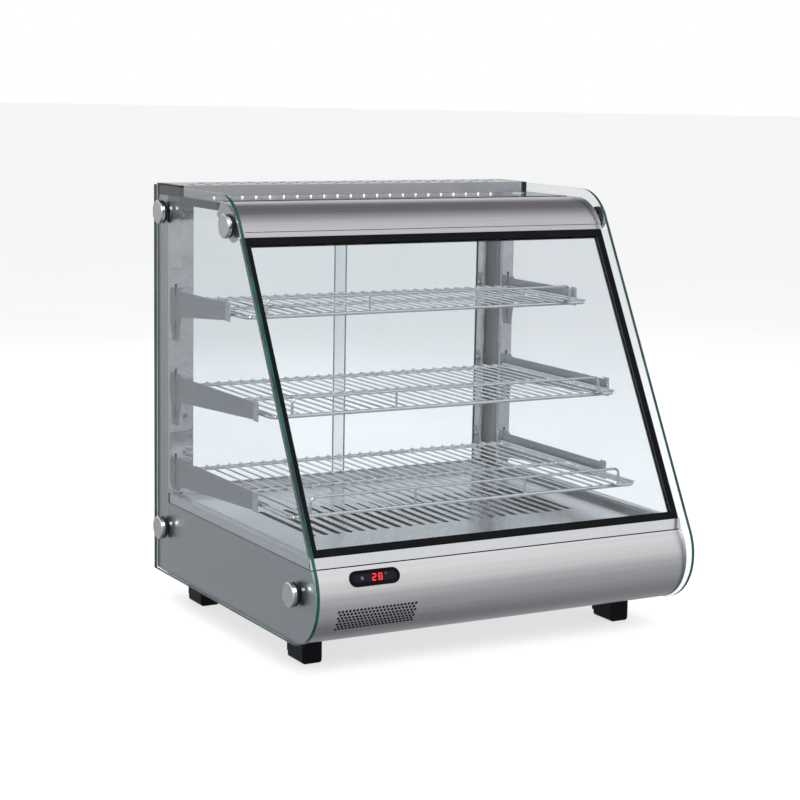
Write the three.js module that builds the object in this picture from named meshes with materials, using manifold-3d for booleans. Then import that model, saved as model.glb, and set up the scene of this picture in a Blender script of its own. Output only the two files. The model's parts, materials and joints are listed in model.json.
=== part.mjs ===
// Countertop hot food display case: sloped front glass, flat side panes held by
// capped knobs, three wire shelves on hooked brackets and two sliding rear doors.
// Millimetres. X runs across the front, Y from the customer's side to the
// operator's side, Z up. The origin is on the counter under the case's middle.
import * as THREE from 'three';
import { mergeVertices } from 'three/addons/utils/BufferGeometryUtils.js';
import Module from 'manifold-3d';

const wasm = await Module();
wasm.setup();

// ---- Driving sizes -------------------------------------------------------

const gap = 0.3;               // clearance between pieces that touch
const sheet = 1.5;             // stainless sheet
const bodyWidth = 640;         // over the steel sides, without the side panes
const overallDepth = 583;      // nose of the side panes to the rear face
const footHeight = 45.5;
const baseHeight = 133;        // underside of the base to the top of the deck's rim
const bodyHeight = 626.1;      // underside of the base to the top of the rear box
const skirtHeight = 15.2;      // the rim's folded edge outside
const deckDrop = 10;           // rim top down to the deck's surface
const hemWidth = 14;           // the rim's flat top
const seam = 1.4;              // dark joint between the skirt and the base

// Side panes
const glassThickness = 5;
const glassDrop = 2.1;         // top of the rear box down to the panes' top edge
const glassCorner = 79;        // radius of the two front corners
const upperDepth = 296.8;      // rear face to where top edge and slope would meet
const lip = 13.2;              // how far the side panes stand proud of the front glass

// Knobs that hold the side panes
const knobRadius = 18.7;
const knobHeight = 10.7;
const washerHeight = 3.7;
const knobStudRadius = 4;
const knobSides = 16;
const upperKnobDrop = 43.6;    // top of the rear box down to the upper rear knob
const lowerKnobRise = 75;      // underside of the base up to the lower knobs
const rearKnobInset = 37;      // rear face to the rear knobs
const visorKnobAhead = 42.6;   // centre of the visor's curve forward to its knob
const visorKnobRise = 43.5;    // and up to it
const frontKnobInset = 70.5;   // nose of the side panes back to the lower front knob

// Front glass and its gasket
const frontGlassThickness = 5;
const gasketThickness = 9;
const gasketWidth = 12;
const gasketFloor = 5.5;       // outer edge of the gasket to the edge of the glass
const gasketSide = 2;          // body side in to the gasket's outer edge

// Front panel
const noseInset = 12.1;        // nose of the side panes back to the panel's nose
const panelRadius = 71;
const panelFoot = 33;          // flat stretch under the base
const displayWidth = 81;
const displayHeight = 23;
const displayInset = 95.5;     // body side in to the display's middle
const displayDrop = 18.3;      // along the curve from the panel's top edge
const displayDepth = 16;
const ventColumns = 22;
const ventRows = 7;
const ventPitch = 5.9;
const ventHole = 1.9;
const ventInset = 99;          // body side in to the vent's middle
const ventDrop = 78.4;         // along the curve from the panel's top edge

// Visor over the front glass
const visorDrop = 16.1;        // top of the rear box down to the visor's top
const visorRadius = 75;
const visorFlat = 10.14;       // gasket's top up the slope to where the visor starts to curve
const visorReach = 15.3;       // flat part of the visor behind its curve
const visorFlange = 10;
const visorEndDrop = 19;       // height of the end plate at its rear
const visorEndMargin = 6;      // end plate around the knob

// Rear top box, end caps, trims and roof glass
const boxDepth = 86.5;
const boxHeight = 17.2;
const capWidth = 8.3;
const capLap = 2;              // end caps stand this far ahead of the box
const trimWidth = 12;
const trimHeight = 8;
const frontTrimDepth = 5;
const roofGlassThickness = 4;
const roofGlassDrop = 0.5;     // top of the visor down to the roof glass
const boxSlotPitch = 28.5;
const boxSlotLength = 26;
const boxSlotWidth = 4.5;
const boxSlotMargin = 10;
const ledInsetX = 58;          // body side in to the light bar's end
const ledWidth = 11;
const ledHeight = 4.2;
const ledInset = 10;           // front of the box back to the light bar

// Rear corner posts and slotted strips
const postDepth = 44.5;
const postWidth = 30.5;
const stripSheet = 1.2;
const stripDepth = 8;
const stripWidth = 21.3;
const slotHeight = 20;
const slotWidth = 3.4;

// Rear doors and their tracks
const doorThickness = 5;
const doorSpacing = 10;        // middle of one pane to middle of the other
const doorInset = 25.5;        // rear face to the middle of the inner pane
const doorOverlap = 16;
const doorSideGap = 0.8;
const trackWall = 1.5;
const trackClearance = 1;
const bottomTrackHeight = 12;
const topTrackHeight = 14;
const doorLift = 3;            // play over a pane in the upper track
const pullWidth = 17.3;
const pullInset = 1.6;
const pullWall = 1.2;

// Shelves and brackets, from the top shelf down
const armRises = [326.5, 190.5, 54.5]; // top of the deck's rim up to the bracket's top
const frontRodGaps = [79, 65, 76.4];   // front glass back to the front rod
const armSetbacks = [44, 32, 95];      // front rod back to the bracket's front end
const hookDrops = [80, 80, 50];
const rodRadius = 3;
const wireRadius = 1.5;
const guardRadius = 2.2;
const weldSink = 0.8;
const wirePitch = 20;
const wireTail = 5;            // wires past the rear rod
const shelfSideGap = 17;       // body side in to the side rods
const shelfRearGap = 8;        // strip face forward to the rear rod's surface
const shelfCorner = 12;
const shelfDrop = 16.5;        // arm top down to the shelf's rods
const guardHeight = 27;
const guardInset = 32.5;       // side rods in to the guard's end posts
const guardCorner = 8.5;
const guardPostX = 96;
const armThickness = 2;
const armInset = 10;           // body side in to the bracket's middle
const armRearHeight = 41;
const armFrontHeight = 25;
const hookWidth = 19;
const hookTip = 11;
const hookRise = 4;
const hookHeight = 6;
const tabLength = 12;
const tabReach = 11;
const clipWidth = 15;

// Feet
const footWidth = 32;
const footLength = 50;
const footLedge = 9;
const footLedgeRise = 7;
const footSideInset = 32;      // body side in to the foot
const frontFootInset = 116;    // nose of the side panes back to the foot
const rearFootInset = 54;

// Air slots in the deck
const deckSlotMargin = 71;     // hem in to the middle of the last slot
const deckSlotPitch = 20.86;
const deckSlotWidth = 10;
const deckSlotLength = 190;

// Warm air fan, heater and water tray under the deck
const fanSize = 120;
const fanDepth = 25;
const fanX = -130;
const fanDrop = 42;            // deck's underside down to the fan
const fanBore = 56;
const fanHub = 18;
const fanBlades = 5;
const heaterRadius = 4;
const heaterDrop = 17;         // deck's underside down to the heater's loops
const heaterPitch = 38;
const heaterLoops = 4;
const heaterReach = 80;
const trayWidth = 250;
const trayHeight = 36;
const trayWall = 1.2;
const trayX = 115;
const trayDrop = 20;           // deck's underside down to the tray's rim
const trayFrontInset = 186;    // nose of the side panes back to the tray's end
const trayPlateMargin = 8;

// Rear panel fittings
const rearPanelInset = 14;
const switchInset = 70;        // body side in to the switch's middle
const switchRise = 66;
const switchWidth = 20;
const switchHeight = 16.4;
const switchFrame = 4;
const rockerTilt = 8;
const glandInset = 130;        // body side in to the gland's middle
const glandRise = 34;
const glandBore = 4.5;

// ---- Worked-out places ---------------------------------------------------

const half = bodyWidth / 2;
const noseY = -overallDepth / 2;
const rearY = overallDepth / 2;
const baseZ = footHeight;
const panZ = baseZ + sheet;
const rimZ = baseZ + baseHeight;
const topZ = baseZ + bodyHeight;
const deckZ = rimZ - deckDrop;
const skirtZ = rimZ - skirtHeight;
const insideX = half - sheet - gap;
const deckUnder = deckZ - sheet;
const fanZ = deckUnder - fanDrop - fanDepth;
const trayZ = deckUnder - trayDrop - trayHeight;
const switchX = -half + switchInset;
const switchZ = panZ + switchRise;
const glandX = -half + glandInset;
const paneTop = topZ - glassDrop;
const stripY = rearY - postDepth - stripDepth;
const boxY = rearY - boxDepth;
const boxZ = topZ - boxHeight;
const visorTop = topZ - visorDrop;
const panelY = rearY - rearPanelInset - sheet;
const lowerNose = { y: noseY + glassCorner, z: baseZ + glassCorner };
const panelNose = { y: noseY + noseInset + panelRadius, z: baseZ + panelRadius };
const doorY = [rearY - doorInset, rearY - doorInset + doorSpacing];
const armTops = armRises.map((rise) => rimZ + rise);
const degree = Math.PI / 180;

// The slope is tangent to the lower nose and passes through the upper corner.
const corner = { y: rearY - upperDepth, z: paneTop };
const reach = Math.hypot(corner.y - lowerNose.y, corner.z - lowerNose.z);
const slopeAngle = Math.atan2(corner.z - lowerNose.z, corner.y - lowerNose.y)
  + Math.acos(glassCorner / reach);
const out = { y: Math.cos(slopeAngle), z: Math.sin(slopeAngle) };
const tangent = {
  y: lowerNose.y + glassCorner * out.y,
  z: lowerNose.z + glassCorner * out.z,
};

const gasketTop = visorTop - visorRadius + visorRadius * out.z + visorFlat * out.y;

// Y of the sloped plane at height z, moved in from the side panes' edge.
function slopeY(z, inset) {
  return tangent.y - (inset + (z - tangent.z) * out.z) / out.y;
}

const visorNose = {
  y: slopeY(visorTop - visorRadius, lip + visorRadius),
  z: visorTop - visorRadius,
};

// A frame on the front glass: X across, second axis up the slope, third outward.
const slopeFrame = new THREE.Matrix4().makeBasis(
  new THREE.Vector3(1, 0, 0),
  new THREE.Vector3(0, out.z, -out.y),
  new THREE.Vector3(0, out.y, out.z),
).setPosition(0, tangent.y - lip * out.y, tangent.z - lip * out.z);

// Distance up the slope at which the outer plane reaches height z.
function upSlope(z) {
  return (z - (tangent.z - lip * out.z)) / -out.y;
}

// ---- Solids --------------------------------------------------------------

const arcSegments = 9;
const frames = {
  x: new THREE.Matrix4().makeBasis(
    new THREE.Vector3(0, 1, 0), new THREE.Vector3(0, 0, 1), new THREE.Vector3(1, 0, 0)),
  y: new THREE.Matrix4().makeBasis(
    new THREE.Vector3(1, 0, 0), new THREE.Vector3(0, 0, 1), new THREE.Vector3(0, -1, 0)),
  z: new THREE.Matrix4(),
};

// A closed geometry as a solid that can be joined and cut.
function solid(geometry) {
  const bare = new THREE.BufferGeometry();
  bare.setAttribute('position', geometry.getAttribute('position'));
  bare.setIndex(geometry.index);
  const merged = mergeVertices(bare, 1e-4);
  return new wasm.Manifold(new wasm.Mesh({
    numProp: 3,
    vertProperties: merged.attributes.position.array,
    triVerts: new Uint32Array(merged.index.array),
  }));
}

function join(parts) {
  return parts.reduce((whole, part) => whole.add(part));
}

function cut(whole, holes) {
  return holes.reduce((rest, hole) => rest.subtract(hole), whole);
}

function box(x0, x1, y0, y1, z0, z1, frame) {
  const block = new THREE.BoxGeometry(x1 - x0, y1 - y0, z1 - z0);
  block.translate((x0 + x1) / 2, (y0 + y1) / 2, (z0 + z1) / 2);
  if (frame) block.applyMatrix4(frame);
  return solid(block);
}

function outline(points) {
  return new THREE.Shape(points.map(([a, b]) => new THREE.Vector2(a, b)));
}

// Extrudes an outline along an axis. It is drawn in (Y, Z), (X, Z) or (X, Y).
function extrude(axis, shape, from, to) {
  const options = { depth: to - from, bevelEnabled: false, curveSegments: arcSegments };
  const prism = new THREE.ExtrudeGeometry(shape, options);
  prism.translate(0, 0, axis === 'y' ? -to : from);
  prism.applyMatrix4(frames[axis]);
  return solid(prism);
}

// A cylinder along X, Y or Z.
function disc(axis, radius, from, to, a, b, sides = 24) {
  const shape = new THREE.Shape();
  const points = [];
  for (let i = 0; i < sides; i++) {
    const turn = (i + 0.5) / sides * 2 * Math.PI;
    points.push([a + radius * Math.cos(turn), b + radius * Math.sin(turn)]);
  }
  shape.setFromPoints(points.map(([p, q]) => new THREE.Vector2(p, q)));
  return extrude(axis, shape, from, to);
}

// A path through given points that keeps each of them as one step.
class RodPath extends THREE.Curve {
  constructor(points) {
    super();
    this.points = points.map((p) => new THREE.Vector3(...p));
  }

  getPointAt(t) {
    const last = this.points.length - 1;
    return this.points[Math.round(t * last)].clone();
  }

  getTangentAt(t) {
    const last = this.points.length - 1;
    const i = Math.round(t * last);
    const before = this.points[Math.max(i - 1, 0)];
    const after = this.points[Math.min(i + 1, last)];
    const here = this.points[i];
    const back = here.clone().sub(before).normalize();
    const ahead = after.clone().sub(here).normalize();
    return back.add(ahead).normalize();
  }
}

// A round rod through the points.
function rod(points, radius, sides = 6) {
  const section = [];
  for (let i = 0; i < sides; i++) {
    const turn = i / sides * 2 * Math.PI;
    section.push([radius * Math.cos(turn), radius * Math.sin(turn)]);
  }
  const options = { steps: points.length - 1, extrudePath: new RodPath(points) };
  return solid(new THREE.ExtrudeGeometry(outline(section), options));
}

// Points of a quarter turn from one corner leg to the next.
function bend(centre, from, to, steps = 4) {
  const points = [];
  for (let i = 0; i <= steps; i++) {
    const turn = i / steps * Math.PI / 2;
    points.push(centre.map((c, k) => c + from[k] * Math.cos(turn) + to[k] * Math.sin(turn)));
  }
  return points;
}

// A slot with round ends, each drawn in a few steps.
function capsule(x, y, length, width, angle = 0, steps = 1) {
  const points = [];
  const straight = (length - (steps > 1 ? width : 0)) / 2;
  for (const end of [1, -1]) {
    for (let i = 0; i <= steps; i++) {
      const turn = (i / steps - 0.5) * Math.PI + (end < 0 ? Math.PI : 0);
      const a = end * straight + width / 2 * Math.cos(turn);
      const b = width / 2 * Math.sin(turn);
      points.push(new THREE.Vector2(
        x + a * Math.cos(angle) - b * Math.sin(angle),
        y + a * Math.sin(angle) + b * Math.cos(angle),
      ));
    }
  }
  return points;
}

// ---- Finishes ------------------------------------------------------------

function finish(color, roughness, metalness) {
  return () => new THREE.MeshStandardMaterial({ color, roughness, metalness });
}

function clear(color, opacity) {
  return () => new THREE.MeshStandardMaterial({
    color, roughness: 0.03, metalness: 0, transparent: true, opacity,
  });
}

const brushed = finish(0xb4b5b7, 0.32, 1);
const polished = finish(0xd4d6d8, 0.12, 1);
const darkSteel = finish(0x83868a, 0.4, 1);
const wire = finish(0xdfe2e4, 0.15, 1);
const rubber = finish(0x16181a, 0.7, 0);
const plastic = finish(0x2b2e33, 0.45, 0);
const glossBlack = finish(0x101116, 0.1, 0);
const glass = clear(0xdcebe8, 0.25);
const doorGlass = clear(0xd9e8e6, 0.25);
const light = finish(0xf4f6f2, 0.4, 0);

const displayCase = new THREE.Group();

function add(name, whole, material) {
  const made = whole.getMesh();
  const geometry = new THREE.BufferGeometry();
  geometry.setAttribute('position', new THREE.BufferAttribute(made.vertProperties, 3));
  geometry.setIndex(new THREE.BufferAttribute(made.triVerts, 1));
  geometry.computeVertexNormals();
  const mesh = new THREE.Mesh(geometry, material());
  mesh.name = name;
  displayCase.add(mesh);
  return mesh;
}

// A right-hand piece and its mirror image on the left.
function addPair(name, whole, material) {
  add(`${name}_right`, whole, material);
  add(`${name}_left`, whole, material).scale.x = -1;
}

// ---- Base ----------------------------------------------------------------

// Y on the front panel's curve at height z.
function panelCurveY(z) {
  return panelNose.y - Math.sqrt(panelRadius ** 2 - (z - panelNose.z) ** 2);
}

function panelCurveAngle(z) {
  return Math.PI - Math.asin((z - panelNose.z) / panelRadius);
}

const panelTop = skirtZ - seam;
const panelEnd = panelNose.y + panelFoot;
const bottomAngle = 1.5 * Math.PI;

function makeBasePan() {
  const flange = 12;
  const edge = insideX;
  const pan = box(-edge, edge, panelEnd + gap, panelY - gap, baseZ, panZ);
  const parts = [pan];
  for (const side of [-1, 1]) {
    const x = side * (edge - sheet / 2);
    const y1 = stripY - gap;
    parts.push(box(x - sheet / 2, x + sheet / 2, panelEnd + gap, y1, baseZ, panZ + flange));
    parts.push(makeTrayRunner(side));
  }
  return join(parts);
}

// An upright with a ledge that carries one side of the water tray.
function makeTrayRunner(side) {
  const ledge = 8;
  const face = trayX + side * (trayWidth / 2 + gap);
  const back = face + side * sheet;
  const inner = face - side * ledge;
  const shelfTop = trayZ - gap;
  const y0 = noseY + trayFrontInset + gap;
  const y1 = panelY - sheet;
  const upright = box(Math.min(face, back), Math.max(face, back), y0, y1, panZ - sheet / 2,
    trayZ + trayHeight / 2);
  const rest = box(Math.min(inner, back), Math.max(inner, back), y0, y1,
    shelfTop - sheet, shelfTop);
  return upright.add(rest);
}

function makeBaseSide() {
  const shape = new THREE.Shape();
  shape.moveTo(stripY + stripDepth - gap, baseZ);
  shape.lineTo(panelNose.y, baseZ);
  shape.absarc(panelNose.y, panelNose.z, panelRadius, bottomAngle,
    panelCurveAngle(panelTop), true);
  shape.lineTo(stripY + stripDepth - gap, panelTop);
  return extrude('x', shape, half - sheet, half);
}

// The angle on the curve at a distance down it from the panel's top edge, degrees.
function downPanel(distance) {
  return (panelCurveAngle(panelTop) + distance / panelRadius) / degree;
}

function makeFrontPanel() {
  const top = panelCurveAngle(panelTop);
  const shape = new THREE.Shape();
  shape.absarc(panelNose.y, panelNose.z, panelRadius, top, bottomAngle, false);
  shape.lineTo(panelEnd, baseZ);
  shape.lineTo(panelEnd, panZ);
  shape.absarc(panelNose.y, panelNose.z, panelRadius - sheet, bottomAngle, top, true);
  const panel = extrude('x', shape, -insideX, insideX);
  return cut(panel, [makeDisplayShape(gap, -displayDepth, displayDepth), ...ventHoles()]);
}

// Moves a solid drawn on (X, up) with Z outward onto the panel's curve.
function onPanel(x, angle) {
  const turn = angle * degree;
  const outward = new THREE.Vector3(0, Math.cos(turn), Math.sin(turn));
  const across = new THREE.Vector3(1, 0, 0);
  const up = outward.clone().cross(across);
  return new THREE.Matrix4().makeBasis(across, up, outward).setPosition(
    x,
    panelNose.y + panelRadius * outward.y,
    panelNose.z + panelRadius * outward.z,
  );
}

function makeDisplayShape(grow, from, to) {
  const radius = displayHeight / 2 + grow;
  const straight = (displayWidth - displayHeight) / 2;
  const shape = new THREE.Shape();
  shape.absarc(straight, 0, radius, -Math.PI / 2, Math.PI / 2, false);
  shape.absarc(-straight, 0, radius, Math.PI / 2, 1.5 * Math.PI, false);
  const options = { depth: to - from, bevelEnabled: false, curveSegments: 6 };
  const prism = new THREE.ExtrudeGeometry(shape, options);
  prism.translate(0, 0, from);
  prism.applyMatrix4(onPanel(-half + displayInset, downPanel(displayDrop)));
  return solid(prism);
}

// Staggered rows of small holes around the lower curve of the panel.
function ventHoles() {
  const holes = [];
  const rowStep = ventPitch * Math.sqrt(3) / 2 / panelRadius / degree;
  for (let row = 0; row < ventRows; row++) {
    const odd = row % 2;
    const angle = downPanel(ventDrop) + (row - (ventRows - 1) / 2) * rowStep;
    for (let i = 0; i < ventColumns - odd; i++) {
      const x = -half + ventInset + (i - (ventColumns - 1 - odd) / 2) * ventPitch;
      const drill = new THREE.CylinderGeometry(ventHole, ventHole, 4 * sheet, 4);
      drill.rotateX(Math.PI / 2);
      drill.applyMatrix4(onPanel(x, angle));
      holes.push(solid(drill));
    }
  }
  return holes;
}

function makeController() {
  const face = 1.2;
  const window = 2.4;
  const body = makeDisplayShape(0, -displayDepth, face);
  const recess = makeDisplayShape(-window, face - 1, face + 1);
  return body.subtract(recess);
}

// The deck: a slotted plate inside a raised, folded rim.
function makeDeckCover() {
  const frontY = slopeY(rimZ, lip);
  const hemBack = frontY + hemWidth;
  const innerX = half - hemWidth;
  const plate = outline([[-innerX, hemBack - sheet], [innerX, hemBack - sheet],
    [innerX, stripY - gap], [-innerX, stripY - gap]]);
  const gaps = Math.floor(2 * (innerX - deckSlotMargin) / deckSlotPitch);
  for (let i = 0; i <= gaps; i++) {
    const x = (i - gaps / 2) * deckSlotPitch;
    plate.holes.push(new THREE.Path(
      capsule(x, 0, deckSlotLength, deckSlotWidth, Math.PI / 2, 2)));
  }
  const rearX = half - stripWidth - gap;
  const rearEnd = panelY + 2 * sheet + 2 * gap;
  const parts = [
    extrude('z', plate, deckUnder, deckZ),
    box(-rearX, rearX, stripY - 1, rearEnd, deckUnder, deckZ),
    box(-rearX, rearX, rearEnd - sheet, rearEnd, skirtZ, deckZ),
    makeFrontHem(frontY, hemBack),
  ];
  for (const side of [-1, 1]) parts.push(makeSideHem(side, frontY));
  return join(parts);
}

function makeFrontHem(frontY, hemBack) {
  const skirtY = panelCurveY(skirtZ);
  return extrude('x', outline([
    [skirtY, skirtZ], [frontY, rimZ], [hemBack, rimZ], [hemBack, deckUnder],
    [hemBack - sheet, deckUnder], [hemBack - sheet, rimZ - sheet],
    [frontY + sheet, rimZ - sheet], [skirtY + sheet, skirtZ],
  ]), -half, half);
}

function makeSideHem(side, frontY) {
  const inner = half - hemWidth;
  const profile = [
    [half, skirtZ], [half, rimZ], [inner, rimZ], [inner, deckUnder],
    [inner + sheet, deckUnder], [inner + sheet, rimZ - sheet],
    [half - sheet, rimZ - sheet], [half - sheet, skirtZ],
  ];
  return extrude('y', outline(profile.map(([x, z]) => [side * x, z])),
    frontY + sheet, stripY - gap);
}

function makeRearBasePanel() {
  const plate = box(-insideX, insideX, panelY, panelY + sheet, baseZ, deckUnder - gap);
  const y0 = panelY - sheet;
  const y1 = panelY + 2 * sheet;
  return cut(plate, [
    box(trayX - trayWidth / 2 - gap, trayX + trayWidth / 2 + gap, y0, y1,
      trayZ - gap, trayZ + trayHeight + gap),
    box(switchX - switchWidth / 2 - sheet - gap, switchX + switchWidth / 2 + sheet + gap, y0, y1,
      switchZ - switchHeight / 2 - sheet - gap, switchZ + switchHeight / 2 + sheet + gap),
    disc('y', glandBore + 3 + gap, y0, y1, glandX, panZ + glandRise),
  ]);
}

function makeFoot() {
  const top = footHeight - gap;
  const w = footWidth / 2;
  const profile = [[-w, top], [-w, 4], [-w + 1.2, 1.2], [-w + 4, 0],
    [w - 4, 0], [w - 1.2, 1.2], [w, 4], [w, top]];
  const block = extrude('y', outline(profile), -footLength / 2, footLength / 2);
  const ledge = box(-w + 3, w - 3, footLength / 2 - 1, footLength / 2 + footLedge,
    footLedgeRise, top);
  return block.add(ledge);
}

// ---- Uprights ------------------------------------------------------------

function makePost() {
  const y0 = rearY - postDepth;
  const flange = outline([
    [half - stripWidth + gap, y0], [half, y0], [half, rearY], [half - postWidth, rearY],
    [half - postWidth, rearY - sheet], [half - sheet, rearY - sheet],
    [half - sheet, y0 + sheet], [half - stripWidth + gap, y0 + sheet],
  ]);
  return extrude('z', flange, panZ + gap, boxZ - gap);
}

// A shallow channel with two slots for the hooks of each bracket.
function makeBracketStrip() {
  const x0 = half - stripWidth;
  const back = stripY + stripDepth - gap;
  const channel = extrude('z', outline([
    [x0, stripY], [half, stripY], [half, back], [half - stripSheet, back],
    [half - stripSheet, stripY + stripSheet], [x0 + stripSheet, stripY + stripSheet],
    [x0 + stripSheet, back], [x0, back],
  ]), rimZ + gap, topZ - visorDrop - trimHeight - roofGlassThickness - 1);
  const slots = [];
  armTops.forEach((top, level) => {
    for (const z of [top, top - hookDrops[level] + slotHeight]) {
      slots.push(box(half - armInset - slotWidth / 2, half - armInset + slotWidth / 2,
        stripY - 1, stripY + 2, z - slotHeight / 2, z + slotHeight / 2));
    }
  });
  return cut(channel, slots);
}

// ---- Side panes and knobs ------------------------------------------------

const upperNose = { z: paneTop - glassCorner, y: slopeY(paneTop - glassCorner, glassCorner) };
const knobs = {
  upper_rear: { y: rearY - rearKnobInset, z: topZ - upperKnobDrop },
  lower_rear: { y: rearY - rearKnobInset, z: baseZ + lowerKnobRise },
  upper_front: { y: visorNose.y - visorKnobAhead, z: visorNose.z + visorKnobRise },
  lower_front: { y: noseY + frontKnobInset, z: baseZ + lowerKnobRise },
};

function makeSidePane() {
  const shape = new THREE.Shape();
  shape.moveTo(rearY, baseZ);
  shape.lineTo(lowerNose.y, baseZ);
  shape.absarc(lowerNose.y, lowerNose.z, glassCorner, bottomAngle, slopeAngle, true);
  shape.absarc(upperNose.y, upperNose.z, glassCorner, slopeAngle, Math.PI / 2, true);
  shape.lineTo(rearY, paneTop);
  const pane = extrude('x', shape, half + gap, half + gap + glassThickness);
  const holes = Object.values(knobs).map(({ y, z }) => disc('x', knobStudRadius + 2 * gap,
    half, half + glassThickness + 1, y, z, 8));
  return cut(pane, holes);
}

// A flat cap over a rubber washer, with the stud that passes through the pane.
function makeKnob({ y, z }) {
  const washer = knobRadius - 0.8;
  const profile = [
    [0, 0], [knobStudRadius, 0], [knobStudRadius, glassThickness + 2 * gap],
    [washer, glassThickness + 2 * gap], [washer, glassThickness + washerHeight],
    [knobRadius, glassThickness + washerHeight],
    [knobRadius, glassThickness + knobHeight], [0, glassThickness + knobHeight],
  ];
  const turned = new THREE.LatheGeometry(
    profile.map(([r, h]) => new THREE.Vector2(r, h)), knobSides);
  turned.rotateZ(-Math.PI / 2);
  turned.translate(half + gap, y, z);
  return solid(turned);
}

// ---- Front glass ---------------------------------------------------------

const gasketHalf = half - gasketSide;
const slopeStart = upSlope(rimZ + gap);
const slopeEnd = upSlope(gasketTop);

function makeFrontGlass() {
  const edge = gasketFloor + gap;
  const middle = -gasketThickness / 2;
  const t = frontGlassThickness / 2;
  return box(-gasketHalf + edge, gasketHalf - edge, slopeStart + edge, slopeEnd - edge,
    middle - t, middle + t, slopeFrame);
}

function makeGasket() {
  const ring = box(-gasketHalf, gasketHalf, slopeStart, slopeEnd,
    -gasketThickness, 0, slopeFrame);
  const w = gasketWidth;
  const middle = -gasketThickness / 2;
  const t = frontGlassThickness / 2 + gap;
  return cut(ring, [
    box(-gasketHalf + w, gasketHalf - w, slopeStart + w, slopeEnd - w,
      -2 * gasketThickness, gasketThickness, slopeFrame),
    box(-gasketHalf + gasketFloor, gasketHalf - gasketFloor, slopeStart + gasketFloor,
      slopeEnd - gasketFloor, middle - t, middle + t, slopeFrame),
    box(-half, half, noseY, rearY, baseZ, rimZ + gap),
  ]);
}

// ---- Visor, roof and rear box --------------------------------------------

const visorRear = visorNose.y + visorReach;

// A point given by its distance up the slope and in from the outer plane.
function onSlope(up, inward) {
  const p = new THREE.Vector3(0, up, -inward).applyMatrix4(slopeFrame);
  return [p.y, p.z];
}

function makeVisor() {
  const start = slopeEnd + 2 * gap;
  const shape = new THREE.Shape();
  shape.moveTo(...onSlope(start, 0));
  shape.lineTo(...onSlope(start, visorFlange));
  shape.lineTo(...onSlope(start + sheet, visorFlange));
  shape.lineTo(...onSlope(start + sheet, sheet));
  shape.absarc(visorNose.y, visorNose.z, visorRadius - sheet, slopeAngle, Math.PI / 2, true);
  shape.lineTo(visorRear, visorTop - sheet);
  shape.lineTo(visorRear, visorTop);
  shape.absarc(visorNose.y, visorNose.z, visorRadius, Math.PI / 2, slopeAngle, false);
  return extrude('x', shape, -insideX, insideX);
}

function makeVisorEnd() {
  const { y, z } = knobs.upper_front;
  const shape = new THREE.Shape();
  shape.moveTo(visorRear, visorTop);
  shape.absarc(visorNose.y, visorNose.z, visorRadius, Math.PI / 2, slopeAngle, false);
  shape.lineTo(...onSlope(slopeEnd + 2 * gap, 0));
  shape.absarc(y, z, knobRadius + visorEndMargin, 1.2 * Math.PI, 1.85 * Math.PI, false);
  shape.lineTo(visorRear, visorTop - visorEndDrop);
  return extrude('x', shape, half - sheet, half);
}

const roofTop = visorTop - roofGlassDrop;
const roofBottom = roofTop - roofGlassThickness;
const roofFront = visorRear + frontTrimDepth + 2 * gap;
const roofEdge = half - trimWidth / 2;
const roofRear = boxY - capLap - gap;

function makeRoofGlass() {
  return box(-roofEdge + gap, roofEdge - gap, roofFront, roofRear, roofBottom, roofTop);
}

function makeFrontTrim() {
  const crown = 1.2;
  const y = visorRear + gap;
  return extrude('x', outline([
    [y, roofBottom - trimHeight / 2], [y + frontTrimDepth, roofBottom - trimHeight / 2],
    [y + frontTrimDepth, visorTop + crown / 2], [y + frontTrimDepth / 2, visorTop + crown],
    [y, visorTop + crown / 2],
  ]), -half + trimWidth + gap, half - trimWidth - gap);
}

// An L section that carries the roof glass from the visor back to the post.
function makeSideTrim() {
  const ledge = roofBottom - gap;
  return extrude('y', outline([
    [half - trimWidth, ledge - trimHeight], [half, ledge - trimHeight], [half, roofTop],
    [roofEdge, roofTop], [roofEdge, ledge], [half - trimWidth, ledge],
  ]), visorRear + gap, roofRear);
}

function makeRearBox() {
  const edge = half - capWidth - gap;
  const shape = outline([[boxY, boxZ], [rearY, boxZ], [rearY, topZ], [boxY, topZ]]);
  const t = sheet;
  shape.holes.push(new THREE.Path([
    [boxY + t, boxZ + t], [rearY - t, boxZ + t], [rearY - t, topZ - t], [boxY + t, topZ - t],
  ].map(([a, b]) => new THREE.Vector2(a, b))));
  return cut(extrude('x', shape, -edge, edge), boxSlots(edge));
}

// Two slots in line on each diagonal of the box's lid.
function boxSlots(edge) {
  const slots = [];
  const along = boxSlotLength * Math.SQRT1_2;
  const middle = (boxY + rearY) / 2;
  const count = Math.floor(2 * edge / boxSlotPitch) - 1;
  for (let i = 0; i < count; i++) {
    const x = (i - (count - 1) / 2) * boxSlotPitch;
    for (const side of [-1, 1]) {
      const shift = side * (along + boxSlotMargin) / 2;
      const shape = new THREE.Shape(capsule(x + shift, middle + shift,
        boxSlotLength, boxSlotWidth, Math.PI / 4));
      slots.push(extrude('z', shape, topZ - 2 * sheet, topZ + 1));
    }
  }
  return slots;
}

function makeBoxCap() {
  const edge = half - capWidth;
  return box(edge, half, boxY - capLap, rearY, boxZ, topZ);
}

function makeLightBar() {
  const y0 = boxY + ledInset;
  const z1 = boxZ - gap;
  const z0 = z1 - ledHeight;
  const bevel = 1.5;
  return extrude('x', outline([
    [y0, z1], [y0, z0 + bevel], [y0 + bevel, z0], [y0 + ledWidth - bevel, z0],
    [y0 + ledWidth, z0 + bevel], [y0 + ledWidth, z1],
  ]), -half + ledInsetX, half - ledInsetX);
}

// ---- Rear doors ----------------------------------------------------------

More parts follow.
